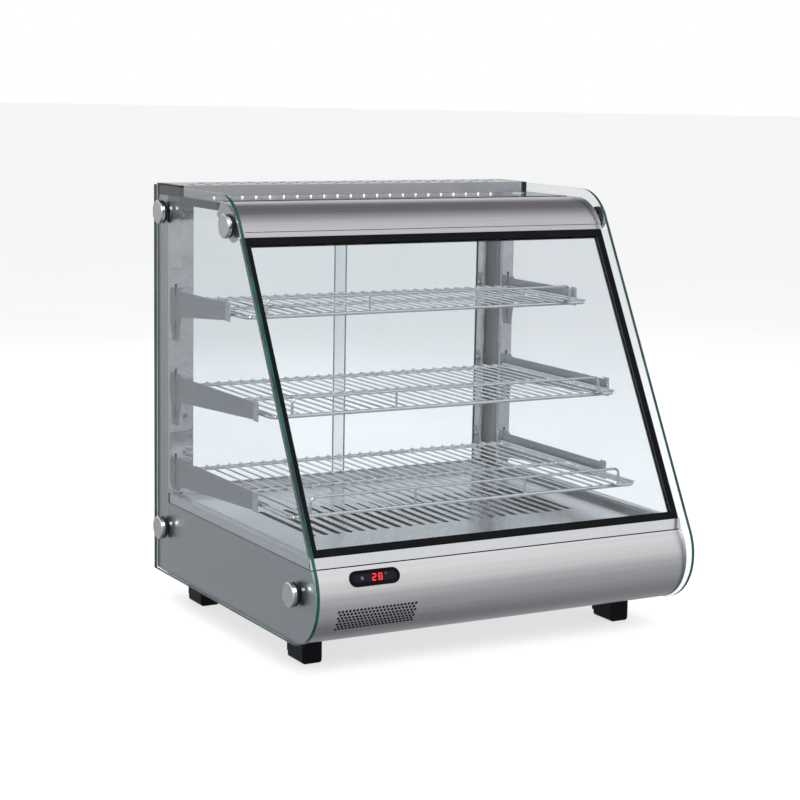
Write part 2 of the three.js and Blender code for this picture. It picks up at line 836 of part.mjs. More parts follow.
const trackHalf = half - postWidth - gap;
const doorBottom = deckZ + gap + trackWall + gap;
const topWeb = boxZ - gap - trackWall;
const doorTop = topWeb - doorLift;
const doorEdge = trackHalf - doorSideGap;

// A channel with one lane for each pane, opening up or down.
function makeTrack(webZ, wallZ) {
  const reachY = doorThickness / 2 + trackClearance;
  const y0 = doorY[0] - reachY - trackWall;
  const y1 = doorY[1] + reachY + trackWall;
  const low = Math.min(webZ, wallZ);
  const high = Math.max(webZ, wallZ);
  const block = box(-trackHalf, trackHalf, y0, y1, low, high);
  const opening = wallZ > webZ
    ? [webZ + trackWall, wallZ + 1]
    : [wallZ - 1, webZ - trackWall];
  return cut(block, doorY.map((y) => box(-half, half, y - reachY, y + reachY, ...opening)));
}

function makeDoor(side) {
  const y = side < 0 ? doorY[0] : doorY[1];
  const inner = -side * doorOverlap / 2;
  const outer = side * doorEdge;
  return box(Math.min(inner, outer), Math.max(inner, outer),
    y - doorThickness / 2, y + doorThickness / 2, doorBottom, doorTop);
}

// A channel pressed over the outer part of a pane, to pull it by.
function makePull(side) {
  const y = side < 0 ? doorY[0] : doorY[1];
  const t = doorThickness / 2 + gap;
  const outer = doorEdge - pullInset;
  const inner = outer - pullWidth;
  const z0 = deckZ + gap + bottomTrackHeight + 1;
  const z1 = boxZ - gap - topTrackHeight - 1;
  const plates = [-1, 1].map((face) => {
    const a = y + face * t;
    const b = y + face * (t + pullWall);
    return box(side * (side < 0 ? outer : inner), side * (side < 0 ? inner : outer),
      Math.min(a, b), Math.max(a, b), z0, z1);
  });
  const edge = doorEdge + gap;
  const wrap = side * edge;
  const end = side * (edge + 0.4);
  const bridge = box(Math.min(wrap, end), Math.max(wrap, end), y - t - pullWall,
    y + t + pullWall, z0, z1);
  const arms = [-1, 1].map((face) => {
    const a = y + face * t;
    const b = y + face * (t + pullWall);
    return box(Math.min(side * (outer - 1), end), Math.max(side * (outer - 1), end),
      Math.min(a, b), Math.max(a, b), z0, z1);
  });
  return join([...plates, ...arms, bridge]);
}

// ---- Shelves and brackets ------------------------------------------------

const sideRodX = half - shelfSideGap;
const frontRods = armTops.map((top, level) =>
  slopeY(top - shelfDrop, lip) + frontRodGaps[level]);
const rearRodY = stripY - shelfRearGap - rodRadius;

function makeShelf(level) {
  const z = armTops[level] - shelfDrop;
  const y0 = frontRods[level];
  const x = sideRodX;
  const r = shelfCorner;
  const loop = [
    [-x, rearRodY, z],
    ...bend([-x + r, y0 + r, z], [-r, 0, 0], [0, -r, 0]),
    ...bend([x - r, y0 + r, z], [0, -r, 0], [r, 0, 0]),
    [x, rearRodY, z],
  ];
  const middle = (y0 + rearRodY) / 2;
  const parts = [
    rod(loop, rodRadius),
    rod([[-x - 1, rearRodY, z], [x + 1, rearRodY, z]], rodRadius),
    rod([[-x, middle, z], [x, middle, z]], rodRadius),
    ...shelfWires(y0, z),
    ...guardRail(y0, z),
  ];
  return join(parts);
}

function shelfWires(y0, z) {
  const count = 2 * Math.floor((sideRodX - rodRadius) / wirePitch);
  const height = z + rodRadius + wireRadius - weldSink;
  const wires = [];
  for (let i = 0; i <= count; i++) {
    const x = (i - count / 2) * wirePitch;
    wires.push(rod([[x, y0, height], [x, rearRodY + wireTail, height]], wireRadius, 4));
  }
  return wires;
}

// A low rail along the front rod, with rounded upper corners and two posts.
function guardRail(y, z) {
  const x = sideRodX - guardInset;
  const r = guardCorner;
  const top = z + guardHeight;
  const hoop = [
    [-x, y, z],
    ...bend([-x + r, y, top - r], [-r, 0, 0], [0, 0, r]),
    ...bend([x - r, y, top - r], [0, 0, r], [r, 0, 0]),
    [x, y, z],
  ];
  const posts = [-guardPostX, guardPostX].map((px) => rod([[px, y, z], [px, y, top]],
    guardRadius - 0.5));
  return [rod(hoop, guardRadius), ...posts];
}

// A plate with two hooks at its rear, an arm, rests for the shelf and a front clip.
function makeBracket(level) {
  const top = armTops[level];
  const front = frontRods[level] + armSetbacks[level];
  const rear = stripY - gap;
  const root = rear - hookWidth;
  const x0 = half - armInset - armThickness / 2;
  const x1 = x0 + armThickness;
  const drop = hookDrops[level];
  const plate = outline([
    [front, top], [front, top - armFrontHeight], [root, top - armRearHeight],
    [rear - hookTip, top - drop], [rear, top - drop], [rear, top + hookRise],
    [root + hookRise, top + hookRise], [root, top],
  ]);
  const length = root - front;
  for (const share of [0.2, 0.75]) {
    plate.holes.push(new THREE.Path(capsule(front + share * length, top - 10, 4.2, 4, 0, 2)));
  }
  const parts = [extrude('x', plate, x0, x1)];
  for (const z of [top, top - drop + slotHeight]) parts.push(...makeHook(x0, x1, z));
  const restTop = top - shelfDrop - rodRadius - gap;
  for (const share of [0.12, 0.5, 0.88]) {
    const y = front + share * length;
    parts.push(box(x0 - tabReach, x0 + 1, y - tabLength / 2, y + tabLength / 2,
      restTop - sheet, restTop));
  }
  const clip = outline([[front - 3, top - armFrontHeight - 2],
    [front - 3 + clipWidth, top - armFrontHeight - 2],
    [front - 3 + clipWidth, top + 3], [front - 3, top + 3]]);
  clip.holes.push(new THREE.Path(capsule(front - 3 + clipWidth / 2, top - 6, 9, 5, Math.PI / 2, 2)));
  return join(parts).add(extrude('x', clip, x1 - 0.4, x1 + 1));
}

// A hook that passes through the strip's slot and drops behind it.
function makeHook(x0, x1, z) {
  const behind = stripY + stripSheet + gap;
  return [
    box(x0, x1, stripY - 1, behind + 2, z - hookHeight, z),
    box(x0, x1, behind, behind + 2, z - slotHeight / 2 - 3, z),
  ];
}

// ---- Inside the base -----------------------------------------------------

// A square fan frame on four legs, with a motor carried on four arms.
function makeFanHousing() {
  const s = fanSize / 2;
  const legs = 8;
  const frame = box(fanX - s, fanX + s, -s, s, fanZ, fanZ + fanDepth)
    .subtract(disc('z', fanBore, fanZ - 1, fanZ + fanDepth + 1, fanX, 0, 18));
  const parts = [frame, disc('z', fanHub - 1, fanZ, fanZ + 8, fanX, 0, 12)];
  for (const [dx, dy] of [[-1, -1], [1, -1], [-1, 1], [1, 1]]) {
    const x = fanX + dx * (s - legs / 2);
    const y = dy * (s - legs / 2);
    parts.push(box(x - legs / 2, x + legs / 2, y - legs / 2, y + legs / 2, panZ + gap, fanZ + 1));
  }
  parts.push(box(fanX - s + 1, fanX + s - 1, -2.5, 2.5, fanZ, fanZ + 4));
  parts.push(box(fanX - 2.5, fanX + 2.5, -s + 1, s - 1, fanZ, fanZ + 4));
  return join(parts);
}

function makeImpeller() {
  const z0 = fanZ + 9;
  const z1 = fanZ + fanDepth - 1;
  const blades = [];
  for (let i = 0; i < fanBlades; i++) {
    const blade = new THREE.BoxGeometry(fanBore - fanHub, 24, 1.6);
    blade.rotateX(28 * degree);
    blade.translate(fanHub + (fanBore - fanHub) / 2 - 3, 0, 0);
    blade.rotateZ(i / fanBlades * 2 * Math.PI);
    blade.translate(fanX, 0, (z0 + z1) / 2);
    blades.push(solid(blade));
  }
  return join([disc('z', fanHub, z0, z1, fanX, 0, 12), ...blades]);
}

// A tubular heater bent to and fro over the fan, with both ends down to the pan.
function makeHeater() {
  const z = deckUnder - heaterDrop;
  const r = heaterPitch / 2;
  const x0 = fanX - (heaterLoops - 1) * r;
  const y = heaterReach;
  const path = [[x0, -y - r, panZ + gap], ...bend([x0, -y, z - r], [0, -r, 0], [0, 0, r], 3)];
  for (let i = 0; i < heaterLoops; i++) {
    const x = x0 + i * heaterPitch;
    const way = i % 2 ? -1 : 1;
    if (i === heaterLoops - 1) break;
    const centre = [x + r, way * (y - r), z];
    path.push(...bend(centre, [-r, 0, 0], [0, way * r, 0], 3));
    path.push(...bend(centre, [0, way * r, 0], [r, 0, 0], 3).slice(1));
  }
  const last = x0 + (heaterLoops - 1) * heaterPitch;
  path.push(...bend([last, -y, z - r], [0, 0, r], [0, -r, 0], 3), [last, -y - r, panZ + gap]);
  return rod(path, heaterRadius);
}

function makeTray() {
  const z0 = trayZ;
  const z1 = z0 + trayHeight;
  const x0 = trayX - trayWidth / 2;
  const x1 = trayX + trayWidth / 2;
  const y0 = noseY + trayFrontInset;
  const face = panelY + sheet + gap;
  const pan = box(x0, x1, y0, face + 1, z0, z1)
    .subtract(box(x0 + trayWall, x1 - trayWall, y0 + trayWall, face - 4, z0 + trayWall, z1 + 1));
  const m = trayPlateMargin;
  const plate = box(x0 - m, x1 + m, face, face + sheet, z0 - m, z1 + 4);
  const grip = extrude('x', outline([
    [face + sheet - 0.5, z1 - 6], [face + 9, z1 - 6], [face + 9, z1 - 14],
    [face + 9 - sheet, z1 - 14], [face + 9 - sheet, z1 - 6 - sheet],
    [face + sheet - 0.5, z1 - 6 - sheet],
  ]), trayX - 40, trayX + 40);
  return join([pan, plate, grip]);
}

// ---- Rear fittings -------------------------------------------------------

const switchFace = panelY + sheet + gap + 2;
const rockerPivotY = switchFace - 2;

function makeSwitchHousing() {
  const w = switchWidth / 2;
  const h = switchHeight / 2;
  const t = sheet;
  const f = switchFrame;
  const body = box(switchX - w - t, switchX + w + t, panelY - 14, switchFace,
    switchZ - h - t, switchZ + h + t);
  const flange = box(switchX - w - f, switchX + w + f, switchFace - 2, switchFace,
    switchZ - h - f, switchZ + h + f);
  return body.add(flange).subtract(box(switchX - w, switchX + w, panelY - 11, switchFace + 1,
    switchZ - h, switchZ + h));
}

// The rocker: a half round body with a shallow V for the finger.
function makeRocker() {
  const w = switchWidth / 2 - gap;
  const r = switchHeight / 2 - 1.2;
  const shape = new THREE.Shape();
  shape.moveTo(3.4, r);
  shape.lineTo(0, r);
  shape.absarc(0, 0, r, Math.PI / 2, 1.5 * Math.PI, false);
  shape.lineTo(3.4, -r);
  shape.lineTo(2, 0);
  const rocker = new THREE.ExtrudeGeometry(shape,
    { depth: 2 * w, bevelEnabled: false, curveSegments: arcSegments });
  rocker.translate(0, 0, -w);
  rocker.rotateZ(-rockerTilt * degree);
  rocker.applyMatrix4(frames.x);
  rocker.translate(switchX, rockerPivotY, switchZ);
  return solid(rocker);
}

function makeGland() {
  const body = glandBore + 3;
  const nut = glandBore + 6.5;
  const outer = panelY + sheet + gap;
  const inner = panelY - gap;
  const parts = [
    disc('y', body, inner - 8, outer + 11, glandX, panZ + glandRise, 12),
    disc('y', nut, outer, outer + 5, glandX, panZ + glandRise, 6),
    disc('y', nut, inner - 5, inner, glandX, panZ + glandRise, 6),
  ];
  return join(parts).subtract(
    disc('y', glandBore, inner - 9, outer + 12, glandX, panZ + glandRise, 8));
}

// ---- Assembly ------------------------------------------------------------

add('base_pan', makeBasePan(), darkSteel);
addPair('base_side', makeBaseSide(), brushed);
add('front_panel', makeFrontPanel(), brushed);
add('controller', makeController(), glossBlack);
add('deck_cover', makeDeckCover(), brushed);
add('rear_base_panel', makeRearBasePanel(), brushed);

const footX = half - footSideInset - footWidth / 2;
const footPlaces = {
  front: noseY + frontFootInset + footLength / 2,
  rear: rearY - rearFootInset - footLength / 2,
};
for (const [row, y] of Object.entries(footPlaces)) {
  for (const [side, x] of [['left', -footX], ['right', footX]]) {
    add(`foot_${row}_${side}`, makeFoot(), rubber).position.set(x, y, 0);
  }
}

addPair('rear_post', makePost(), brushed);
addPair('bracket_strip', makeBracketStrip(), polished);
addPair('side_glass', makeSidePane(), glass);
for (const [place, spot] of Object.entries(knobs)) {
  addPair(`glass_knob_${place}`, makeKnob(spot), brushed);
}
add('front_glass', makeFrontGlass(), glass);
add('front_glass_gasket', makeGasket(), rubber);
add('visor', makeVisor(), brushed);
addPair('visor_end', makeVisorEnd(), brushed);
add('roof_glass', makeRoofGlass(), glass);
add('roof_front_trim', makeFrontTrim(), plastic);
addPair('roof_side_trim', makeSideTrim(), plastic);
add('rear_top_box', makeRearBox(), brushed);
addPair('box_end_cap', makeBoxCap(), plastic);
add('light_bar', makeLightBar(), light);

add('door_track_bottom', makeTrack(deckZ + gap, deckZ + gap + bottomTrackHeight), polished);
add('door_track_top', makeTrack(boxZ - gap, boxZ - gap - topTrackHeight), polished);
for (const [side, way] of [['left', -1], ['right', 1]]) {
  add(`rear_door_${side}`, makeDoor(way), doorGlass);
  add(`door_pull_${side}`, makePull(way), polished);
}

['top', 'middle', 'bottom'].forEach((name, level) => {
  add(`shelf_${name}`, makeShelf(level), wire);
  addPair(`shelf_bracket_${name}`, makeBracket(level), darkSteel);
});

add('fan_housing', makeFanHousing(), plastic);
add('fan_impeller', makeImpeller(), plastic);
add('heater_element', makeHeater(), darkSteel);
add('water_tray', makeTray(), brushed);
add('switch_housing', makeSwitchHousing(), plastic);
add('switch_rocker', makeRocker(), rubber);
add('cord_gland', makeGland(), plastic);

export default displayCase;
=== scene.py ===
"""Looks of a countertop hot food display case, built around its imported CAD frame.

Units are metres in the frame's own axes: X to the right seen from the front, Y from
the customer's side to the operator's side, Z up. Each sub-assembly is a class that
builds its meshes from the frame's boxes and gives them their finishes.
"""
import json
import logging
import math
from dataclasses import dataclass, field
from enum import Enum
from typing import Any, Callable, Iterable, Optional, Sequence

import bmesh
import bpy
from mathutils import Matrix, Vector

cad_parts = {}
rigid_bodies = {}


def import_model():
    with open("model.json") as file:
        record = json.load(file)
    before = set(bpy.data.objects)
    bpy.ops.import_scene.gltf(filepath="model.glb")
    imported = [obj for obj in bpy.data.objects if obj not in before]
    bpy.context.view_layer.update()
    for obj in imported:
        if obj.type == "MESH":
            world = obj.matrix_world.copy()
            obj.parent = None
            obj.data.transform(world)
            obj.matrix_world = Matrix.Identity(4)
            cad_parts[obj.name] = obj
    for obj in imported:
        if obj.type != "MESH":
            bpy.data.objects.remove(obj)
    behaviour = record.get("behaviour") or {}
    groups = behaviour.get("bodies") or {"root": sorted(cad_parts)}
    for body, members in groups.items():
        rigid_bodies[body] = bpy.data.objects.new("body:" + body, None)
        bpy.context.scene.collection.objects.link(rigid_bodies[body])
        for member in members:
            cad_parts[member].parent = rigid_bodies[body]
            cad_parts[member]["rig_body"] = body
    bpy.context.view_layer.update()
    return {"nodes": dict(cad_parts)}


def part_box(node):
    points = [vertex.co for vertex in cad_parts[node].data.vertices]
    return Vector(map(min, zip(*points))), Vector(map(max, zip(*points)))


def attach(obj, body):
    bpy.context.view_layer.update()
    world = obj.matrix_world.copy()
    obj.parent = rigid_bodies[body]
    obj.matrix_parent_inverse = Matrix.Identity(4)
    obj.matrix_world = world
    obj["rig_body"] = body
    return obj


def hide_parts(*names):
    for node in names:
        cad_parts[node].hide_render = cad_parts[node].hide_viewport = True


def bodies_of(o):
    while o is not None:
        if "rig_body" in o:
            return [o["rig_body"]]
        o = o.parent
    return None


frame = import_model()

log = logging.getLogger("display_case")
Point2 = tuple[float, float]
Point3 = tuple[float, float, float]


class Axis(Enum):
    """Direction that an outline is extruded along."""

    X = "x"
    Y = "y"
    Z = "z"


class Side(Enum):
    """Side of the case, seen from the front."""

    LEFT = -1
    RIGHT = 1

    @property
    def word(self) -> str:
        """Name used at the end of a node's name."""
        return self.name.lower()


# ---- Node trees ----------------------------------------------------------


class Wire:
    """A shader or geometry socket that does arithmetic with numbers and other wires."""

    def __init__(self, tree: "NodeTree", socket: Optional[bpy.types.NodeSocket]) -> None:
        """Wraps a socket of a tree."""
        self.tree = tree
        self.socket = socket

    def _math(self, operation: str, *values: Any) -> "Wire":
        """Adds one Math node and returns its result."""
        inputs = dict(enumerate(values))
        return self.tree.node("ShaderNodeMath", {"operation": operation}, inputs)

    def __add__(self, other: Any) -> "Wire":
        """Sum."""
        return self._math("ADD", self, other)

    __radd__ = __add__

    def __sub__(self, other: Any) -> "Wire":
        """Difference."""
        return self._math("SUBTRACT", self, other)

    def __rsub__(self, other: Any) -> "Wire":
        """Difference with this wire taken away."""
        return self._math("SUBTRACT", other, self)

    def __mul__(self, other: Any) -> "Wire":
        """Product."""
        return self._math("MULTIPLY", self, other)

    __rmul__ = __mul__

    def __pow__(self, other: Any) -> "Wire":
        """Power."""
        return self._math("POWER", self, other)

    def ramp(self, low: float, high: float, to_low: float = 0.0, to_high: float = 1.0) -> "Wire":
        """Smooth step between two values.

        Args:
            low: Value where the step starts.
            high: Value where it ends.
            to_low: Result below low.
            to_high: Result above high.

        Returns:
            The stepped value as a wire.
        """
        settings = {"interpolation_type": "SMOOTHSTEP"}
        inputs = {0: self, 1: low, 2: high, 3: to_low, 4: to_high}
        return self.tree.node("ShaderNodeMapRange", settings, inputs)


class NodeTree:
    """Adds nodes to one node tree."""

    def __init__(self, tree: bpy.types.NodeTree) -> None:
        """Starts on a tree."""
        self.tree = tree

    def node(self, kind: str, settings: Optional[dict[str, Any]] = None,
             inputs: Optional[dict[Any, Any]] = None, output: Any = 0) -> Wire:
        """Adds a node.

        Args:
            kind: Type name of the node.
            settings: Its properties, set first. A ramp's stops are under "stops".
            inputs: Values or wires, by socket name or number.
            output: Name or number of the socket to return.

        Returns:
            The chosen output as a wire, without a socket where the node has no output.
        """
        made = self.tree.nodes.new(kind)
        for key, value in (settings or {}).items():
            if key == "stops":
                self._set_stops(made, value)
            else:
                setattr(made, key, value)
        for key, value in (inputs or {}).items():
            socket = made.inputs[key]
            if isinstance(value, Wire):
                self.tree.links.new(value.socket, socket)
            else:
                socket.default_value = value
        return Wire(self, made.outputs[output] if len(made.outputs) else None)

    @staticmethod
    def _set_stops(made: bpy.types.Node, stops: Sequence[tuple[float, Sequence[float]]]) -> None:
        """Sets the stops of a colour ramp.

        Args:
            made: The ramp's node.
            stops: A (position, colour) pair for each stop, in order.
        """
        elements = made.color_ramp.elements
        while len(elements) < len(stops):
            elements.new(0.5)
        for element, (position, colour) in zip(elements, stops):
            element.position = position
            element.color = (*colour[:3], 1.0)

    def mix(self, share: Any, first: Any, second: Any) -> Wire:
        """Colour between first and second by share."""
        return self.node("ShaderNodeMix", {"data_type": "RGBA"},
                         {0: share, 6: first, 7: second}, output=2)


class Surface(NodeTree):
    """The node tree of one material."""

    def __init__(self, name: str) -> None:
        """Makes an empty material."""
        self.material = bpy.data.materials.new(name)
        self.material.use_nodes = True
        super().__init__(self.material.node_tree)
        self.tree.nodes.clear()

    def place(self, scale: Point3 = (1.0, 1.0, 1.0)) -> Wire:
        """Object coordinates, scaled along each axis."""
        where = self.node("ShaderNodeTexCoord", output="Object")
        return self.node("ShaderNodeMapping", {}, {"Vector": where, "Scale": scale})

    def noise(self, scale: Point3, detail: float = 3.0, roughness: float = 0.6) -> Wire:
        """Adds noise over object coordinates.

        Args:
            scale: Its own scale along each axis.
            detail: Number of octaves.
            roughness: Share of the finer octaves.

        Returns:
            The noise, about 0.5 on average.
        """
        inputs = {"Vector": self.place(scale), "Scale": 1.0, "Detail": detail,
                  "Roughness": roughness}
        return self.node("ShaderNodeTexNoise", {}, inputs)

    def bump(self, height: Wire, distance: float, strength: float = 1.0) -> Wire:
        """Normal from a height in metres times distance."""
        inputs = {"Height": height, "Distance": distance, "Strength": strength}
        return self.node("ShaderNodeBump", {}, inputs)

    def principled(self, **inputs: Any) -> Wire:
        """Adds a Principled shader.

        Args:
            **inputs: Values or wires by socket name, with underscores for spaces.

        Returns:
            The shader.
        """
        named = {key.replace("_", " "): value for key, value in inputs.items()}
        for key in ("Base Color", "Emission Color"):
            if key in named and not isinstance(named[key], Wire):
                named[key] = (*named[key][:3], 1.0)
        return self.node("ShaderNodeBsdfPrincipled", {}, named)

    def finish(self, shader: Wire) -> bpy.types.Material:
        """Links the shader to the output and returns the material."""
        self.node("ShaderNodeOutputMaterial", {}, {"Surface": shader})
        return self.material


# ---- Finishes ------------------------------------------------------------


@dataclass(frozen=True)
class BrushedSteel:
    """Stainless sheet with fine brushing along one axis."""

    name: str
    colour: Point3
    roughness: float = 0.3
    grain: Point3 = (3.0, 1500.0, 1500.0)
    streak: float = 0.1
    depth: float = 0.000010

    def make(self) -> bpy.types.Material:
        """Builds the material.

        Returns:
            The material.
        """
        s = Surface(self.name)
        fine = s.noise(self.grain, detail=4.0)
        broad = s.noise(tuple(value * 0.12 for value in self.grain), detail=2.0)
        cloud = s.noise((7.0, 7.0, 7.0), detail=2.0)
        lines = fine * 0.65 + broad * 0.35
        dark = tuple(value * (1.0 - self.streak) for value in self.colour)
        light = tuple(min(value * (1.0 + self.streak), 1.0) for value in self.colour)
        colour = s.mix(lines.ramp(0.3, 0.7), (*dark, 1.0), (*light, 1.0))
        roughness = lines * 0.10 + cloud * 0.08 + (self.roughness - 0.09)
        return s.finish(s.principled(Base_Color=colour, Metallic=1.0, Roughness=roughness,
                                     Normal=s.bump(lines, self.depth)))


@dataclass(frozen=True)
class PolishedSteel:
    """Mirror polished or plated metal with a slight waviness."""

    name: str
    colour: Point3
    roughness: float = 0.08
    wave: float = 0.0006
    scale: float = 9.0

    def make(self) -> bpy.types.Material:
        """Builds the material.

        Returns:
            The material.
        """
        s = Surface(self.name)
        wave = s.noise((self.scale,) * 3, detail=1.0)
        haze = s.noise((60.0, 60.0, 60.0), detail=3.0)
        colour = s.mix(haze.ramp(0.35, 0.75), (*(v * 0.93 for v in self.colour), 1.0),
                       (*self.colour, 1.0))
        roughness = haze * 0.06 + (self.roughness - 0.03)
        return s.finish(s.principled(Base_Color=colour, Metallic=1.0, Roughness=roughness,
                                     Normal=s.bump(wave, self.wave)))


@dataclass(frozen=True)
class Moulded:
    """Rubber or plastic with a fine grain."""

    name: str
    colour: Point3
    roughness: float = 0.45
    grain: float = 900.0
    depth: float = 0.00002
    coat: float = 0.0
    shine: float = 0.22

    def make(self) -> bpy.types.Material:
        """Builds the material.

        Returns:
            The material.
        """
        s = Surface(self.name)
        grain = s.noise((self.grain,) * 3, detail=2.0)
        dust = s.noise((22.0, 22.0, 22.0), detail=4.0)
        pale = tuple(value * 1.5 + 0.001 for value in self.colour)
        colour = s.mix(dust.ramp(0.45, 0.8), (*self.colour, 1.0), (*pale, 1.0))
        roughness = dust * 0.14 + grain * 0.06 + (self.roughness - 0.10)
        return s.finish(s.principled(Base_Color=colour, Roughness=roughness,
                                     Specular_IOR_Level=self.shine, Coat_Weight=self.coat,
                                     Coat_Roughness=0.08, Normal=s.bump(grain, self.depth)))


@dataclass(frozen=True)
class ClearPane:
    """The faces of a clear pane: what is behind shows through, with a Fresnel mirror on top."""

    name: str
    tint: Point3
    mirror: float = 0.8
    straight: float = 0.035
    haze: float = 0.02

    def make(self) -> bpy.types.Material:
        """Builds the material.

        Returns:
            The material.
        """
        s = Surface(self.name)
        clean = s.node("ShaderNodeBsdfTransparent", {}, {"Color": (*self.tint, 1.0)})
        shine = s.node("ShaderNodeBsdfGlossy", {}, {"Color": (1.0, 1.0, 1.0, 1.0),
                                                    "Roughness": self.haze})
        facing = s.node("ShaderNodeLayerWeight", {}, {"Blend": 0.5}, "Facing")
        share = (facing ** 5.0 * (1.0 - self.straight) + self.straight) * self.mirror
        return s.finish(s.node("ShaderNodeMixShader", {}, {0: share, 1: clean, 2: shine}))


@dataclass(frozen=True)
class PaneEdge:
    """The ground and polished edge of a pane, which gathers the glass's own green."""

    name: str
    deep: Point3
    pale: Point3
    roughness: float = 0.12

    def make(self) -> bpy.types.Material:
        """Builds the material.

        Returns:
            The material.
        """
        s = Surface(self.name)
        drift = s.noise((14.0, 14.0, 14.0), detail=2.0)
        fine = s.noise((240.0, 240.0, 240.0), detail=2.0)
        share = (drift * 0.8 + fine * 0.2).ramp(0.38, 0.66)
        colour = s.mix(share, (*self.deep, 1.0), (*self.pale, 1.0))
        return s.finish(s.principled(Base_Color=colour, Roughness=self.roughness,
                                     Specular_IOR_Level=0.4, Coat_Weight=0.1,
                                     Normal=s.bump(fine, 0.00002)))


@dataclass(frozen=True)
class Glow:
    """A lit surface."""

    name: str
    colour: Point3
    strength: float

    def make(self) -> bpy.types.Material:
        """Builds the material.

        Returns:
            The material.
        """
        s = Surface(self.name)
        flicker = s.noise((300.0, 300.0, 300.0), detail=1.0).ramp(0.2, 0.8)
        light = s.mix(flicker, (*(v * 0.85 for v in self.colour), 1.0), (*self.colour, 1.0))
        return s.finish(s.principled(Base_Color=self.colour, Roughness=0.3,
                                     Emission_Color=light, Emission_Strength=self.strength))


class Finishes:
    """Every finish of the case, made once and shared."""

    def __init__(self) -> None:
        """Builds the materials."""
        along_x, along_y = (3.0, 1500.0, 1500.0), (1500.0, 3.0, 1500.0)
        along_z = (1500.0, 1500.0, 3.0)
        self.panel = BrushedSteel("front_steel", (0.71, 0.705, 0.715), 0.30, along_x).make()
        self.visor = BrushedSteel("visor_steel", (0.56, 0.55, 0.575), 0.27, along_x).make()
        self.deck = BrushedSteel("deck_steel", (0.80, 0.815, 0.825), 0.20, along_y, 0.05).make()
        self.lid = BrushedSteel("lid_steel", (0.56, 0.565, 0.575), 0.24, along_x, 0.06).make()
        self.side = BrushedSteel("side_steel", (0.50, 0.52, 0.535), 0.36, along_y, 0.07).make()
        self.post = BrushedSteel("post_steel", (0.56, 0.575, 0.585), 0.34, along_z, 0.08).make()
        self.plate = BrushedSteel("visor_end_steel", (0.66, 0.665, 0.67), 0.40,
                                  along_y, 0.05).make()
        self.knob = BrushedSteel("knob_face_steel", (0.62, 0.62, 0.615), 0.30,
                                 (900.0, 900.0, 900.0), 0.08).make()
        self.bracket = BrushedSteel("bracket_steel", (0.46, 0.48, 0.50), 0.38, along_y, 0.06).make()
        self.clip = BrushedSteel("clip_steel", (0.74, 0.75, 0.76), 0.25, along_z, 0.06).make()
        self.inner = BrushedSteel("inner_steel", (0.55, 0.56, 0.57), 0.38, along_x, 0.08).make()
        self.mirror = PolishedSteel("polished_steel", (0.80, 0.81, 0.815), 0.08,
                                    0.0012, 26.0).make()
        self.rim = PolishedSteel("knob_rim_steel", (0.78, 0.78, 0.775), 0.10).make()
        self.wire = PolishedSteel("plated_wire", (0.88, 0.90, 0.92), 0.12, 0.0002, 40.0).make()
        self.tray = PolishedSteel("tray_steel", (0.86, 0.87, 0.875), 0.16, 0.0008, 12.0).make()
        self.heater = PolishedSteel("heater_tube", (0.34, 0.31, 0.28), 0.32).make()
        self.rubber = Moulded("black_rubber", (0.012, 0.013, 0.015), 0.42).make()
        self.gasket = Moulded("gasket_rubber", (0.0025, 0.003, 0.004), 0.5, shine=0.08).make()
        # Paler grey copy of the gasket rubber for its end faces: painted light on the ends.
        self.gasket_side = Moulded("gasket_side_rubber", (0.085, 0.092, 0.105), 0.5).make()
        self.foot = Moulded("foot_rubber", (0.002, 0.002, 0.003), 0.30, coat=0.12,
                            shine=0.05).make()
        self.plastic = Moulded("black_plastic", (0.016, 0.017, 0.020), 0.36).make()
        self.grey_plastic = Moulded("grey_plastic", (0.062, 0.066, 0.076), 0.42).make()
        self.window = Moulded("display_window", (0.006, 0.004, 0.008), 0.16, coat=0.15,
                              shine=0.08).make()
        self.bezel = Moulded("display_bezel", (0.003, 0.001, 0.002), 0.25, coat=0.1,
                             shine=0.05).make()
        self.rocker = Moulded("rocker_red", (0.40, 0.015, 0.012), 0.2, coat=0.5).make()
        self.pane = ClearPane("pane_glass", (0.930, 0.945, 0.955)).make()
        self.door = ClearPane("door_glass", (0.915, 0.935, 0.945)).make()
        self.side_edge = PaneEdge("pane_edge", (0.0004, 0.018, 0.015),
                                  (0.0008, 0.070, 0.054)).make()
        self.door_edge = PaneEdge("door_edge", (0.10, 0.20, 0.20), (0.28, 0.40, 0.40)).make()
        self.lens = Moulded("lamp_lens", (0.62, 0.64, 0.62), 0.3, coat=0.4).make()
        self.led = Glow("lamp_point", (1.0, 0.99, 0.96), 3.0).make()
        self.digit = Glow("display_digit", (1.0, 0.008, 0.016), 1.25).make()
        self.icon = Glow("display_icon", (0.10, 0.12, 0.17), 0.5).make()
        # Near-black matte used only as painted shade: vent and slot walls, black sheets behind
        # holes and slots, and the visor crease's shadow line.
        self.void = Moulded("dark_inside", (0.002, 0.002, 0.003), 0.9, shine=0.0).make()


# ---- Shapes --------------------------------------------------------------


def linked(name: str, data: Any) -> bpy.types.Object:
    """Makes an object and links it to the scene.

    Args:
        name: Its name.
        data: Its mesh, curve, camera or light.

    Returns:
        The object.
    """
    made = bpy.data.objects.new(name, data)
    bpy.context.scene.collection.objects.link(made)
    return made


def applied(made: bpy.types.Object) -> bpy.types.Mesh:
    """Turns an object and its modifiers into a plain mesh.

    Args:
        made: The object, which is removed.

    Returns:
        The mesh.
    """
    bpy.context.view_layer.update()
    graph = bpy.context.evaluated_depsgraph_get()
    mesh = bpy.data.meshes.new_from_object(made.evaluated_get(graph), depsgraph=graph)
    bpy.data.objects.remove(made)
    return mesh


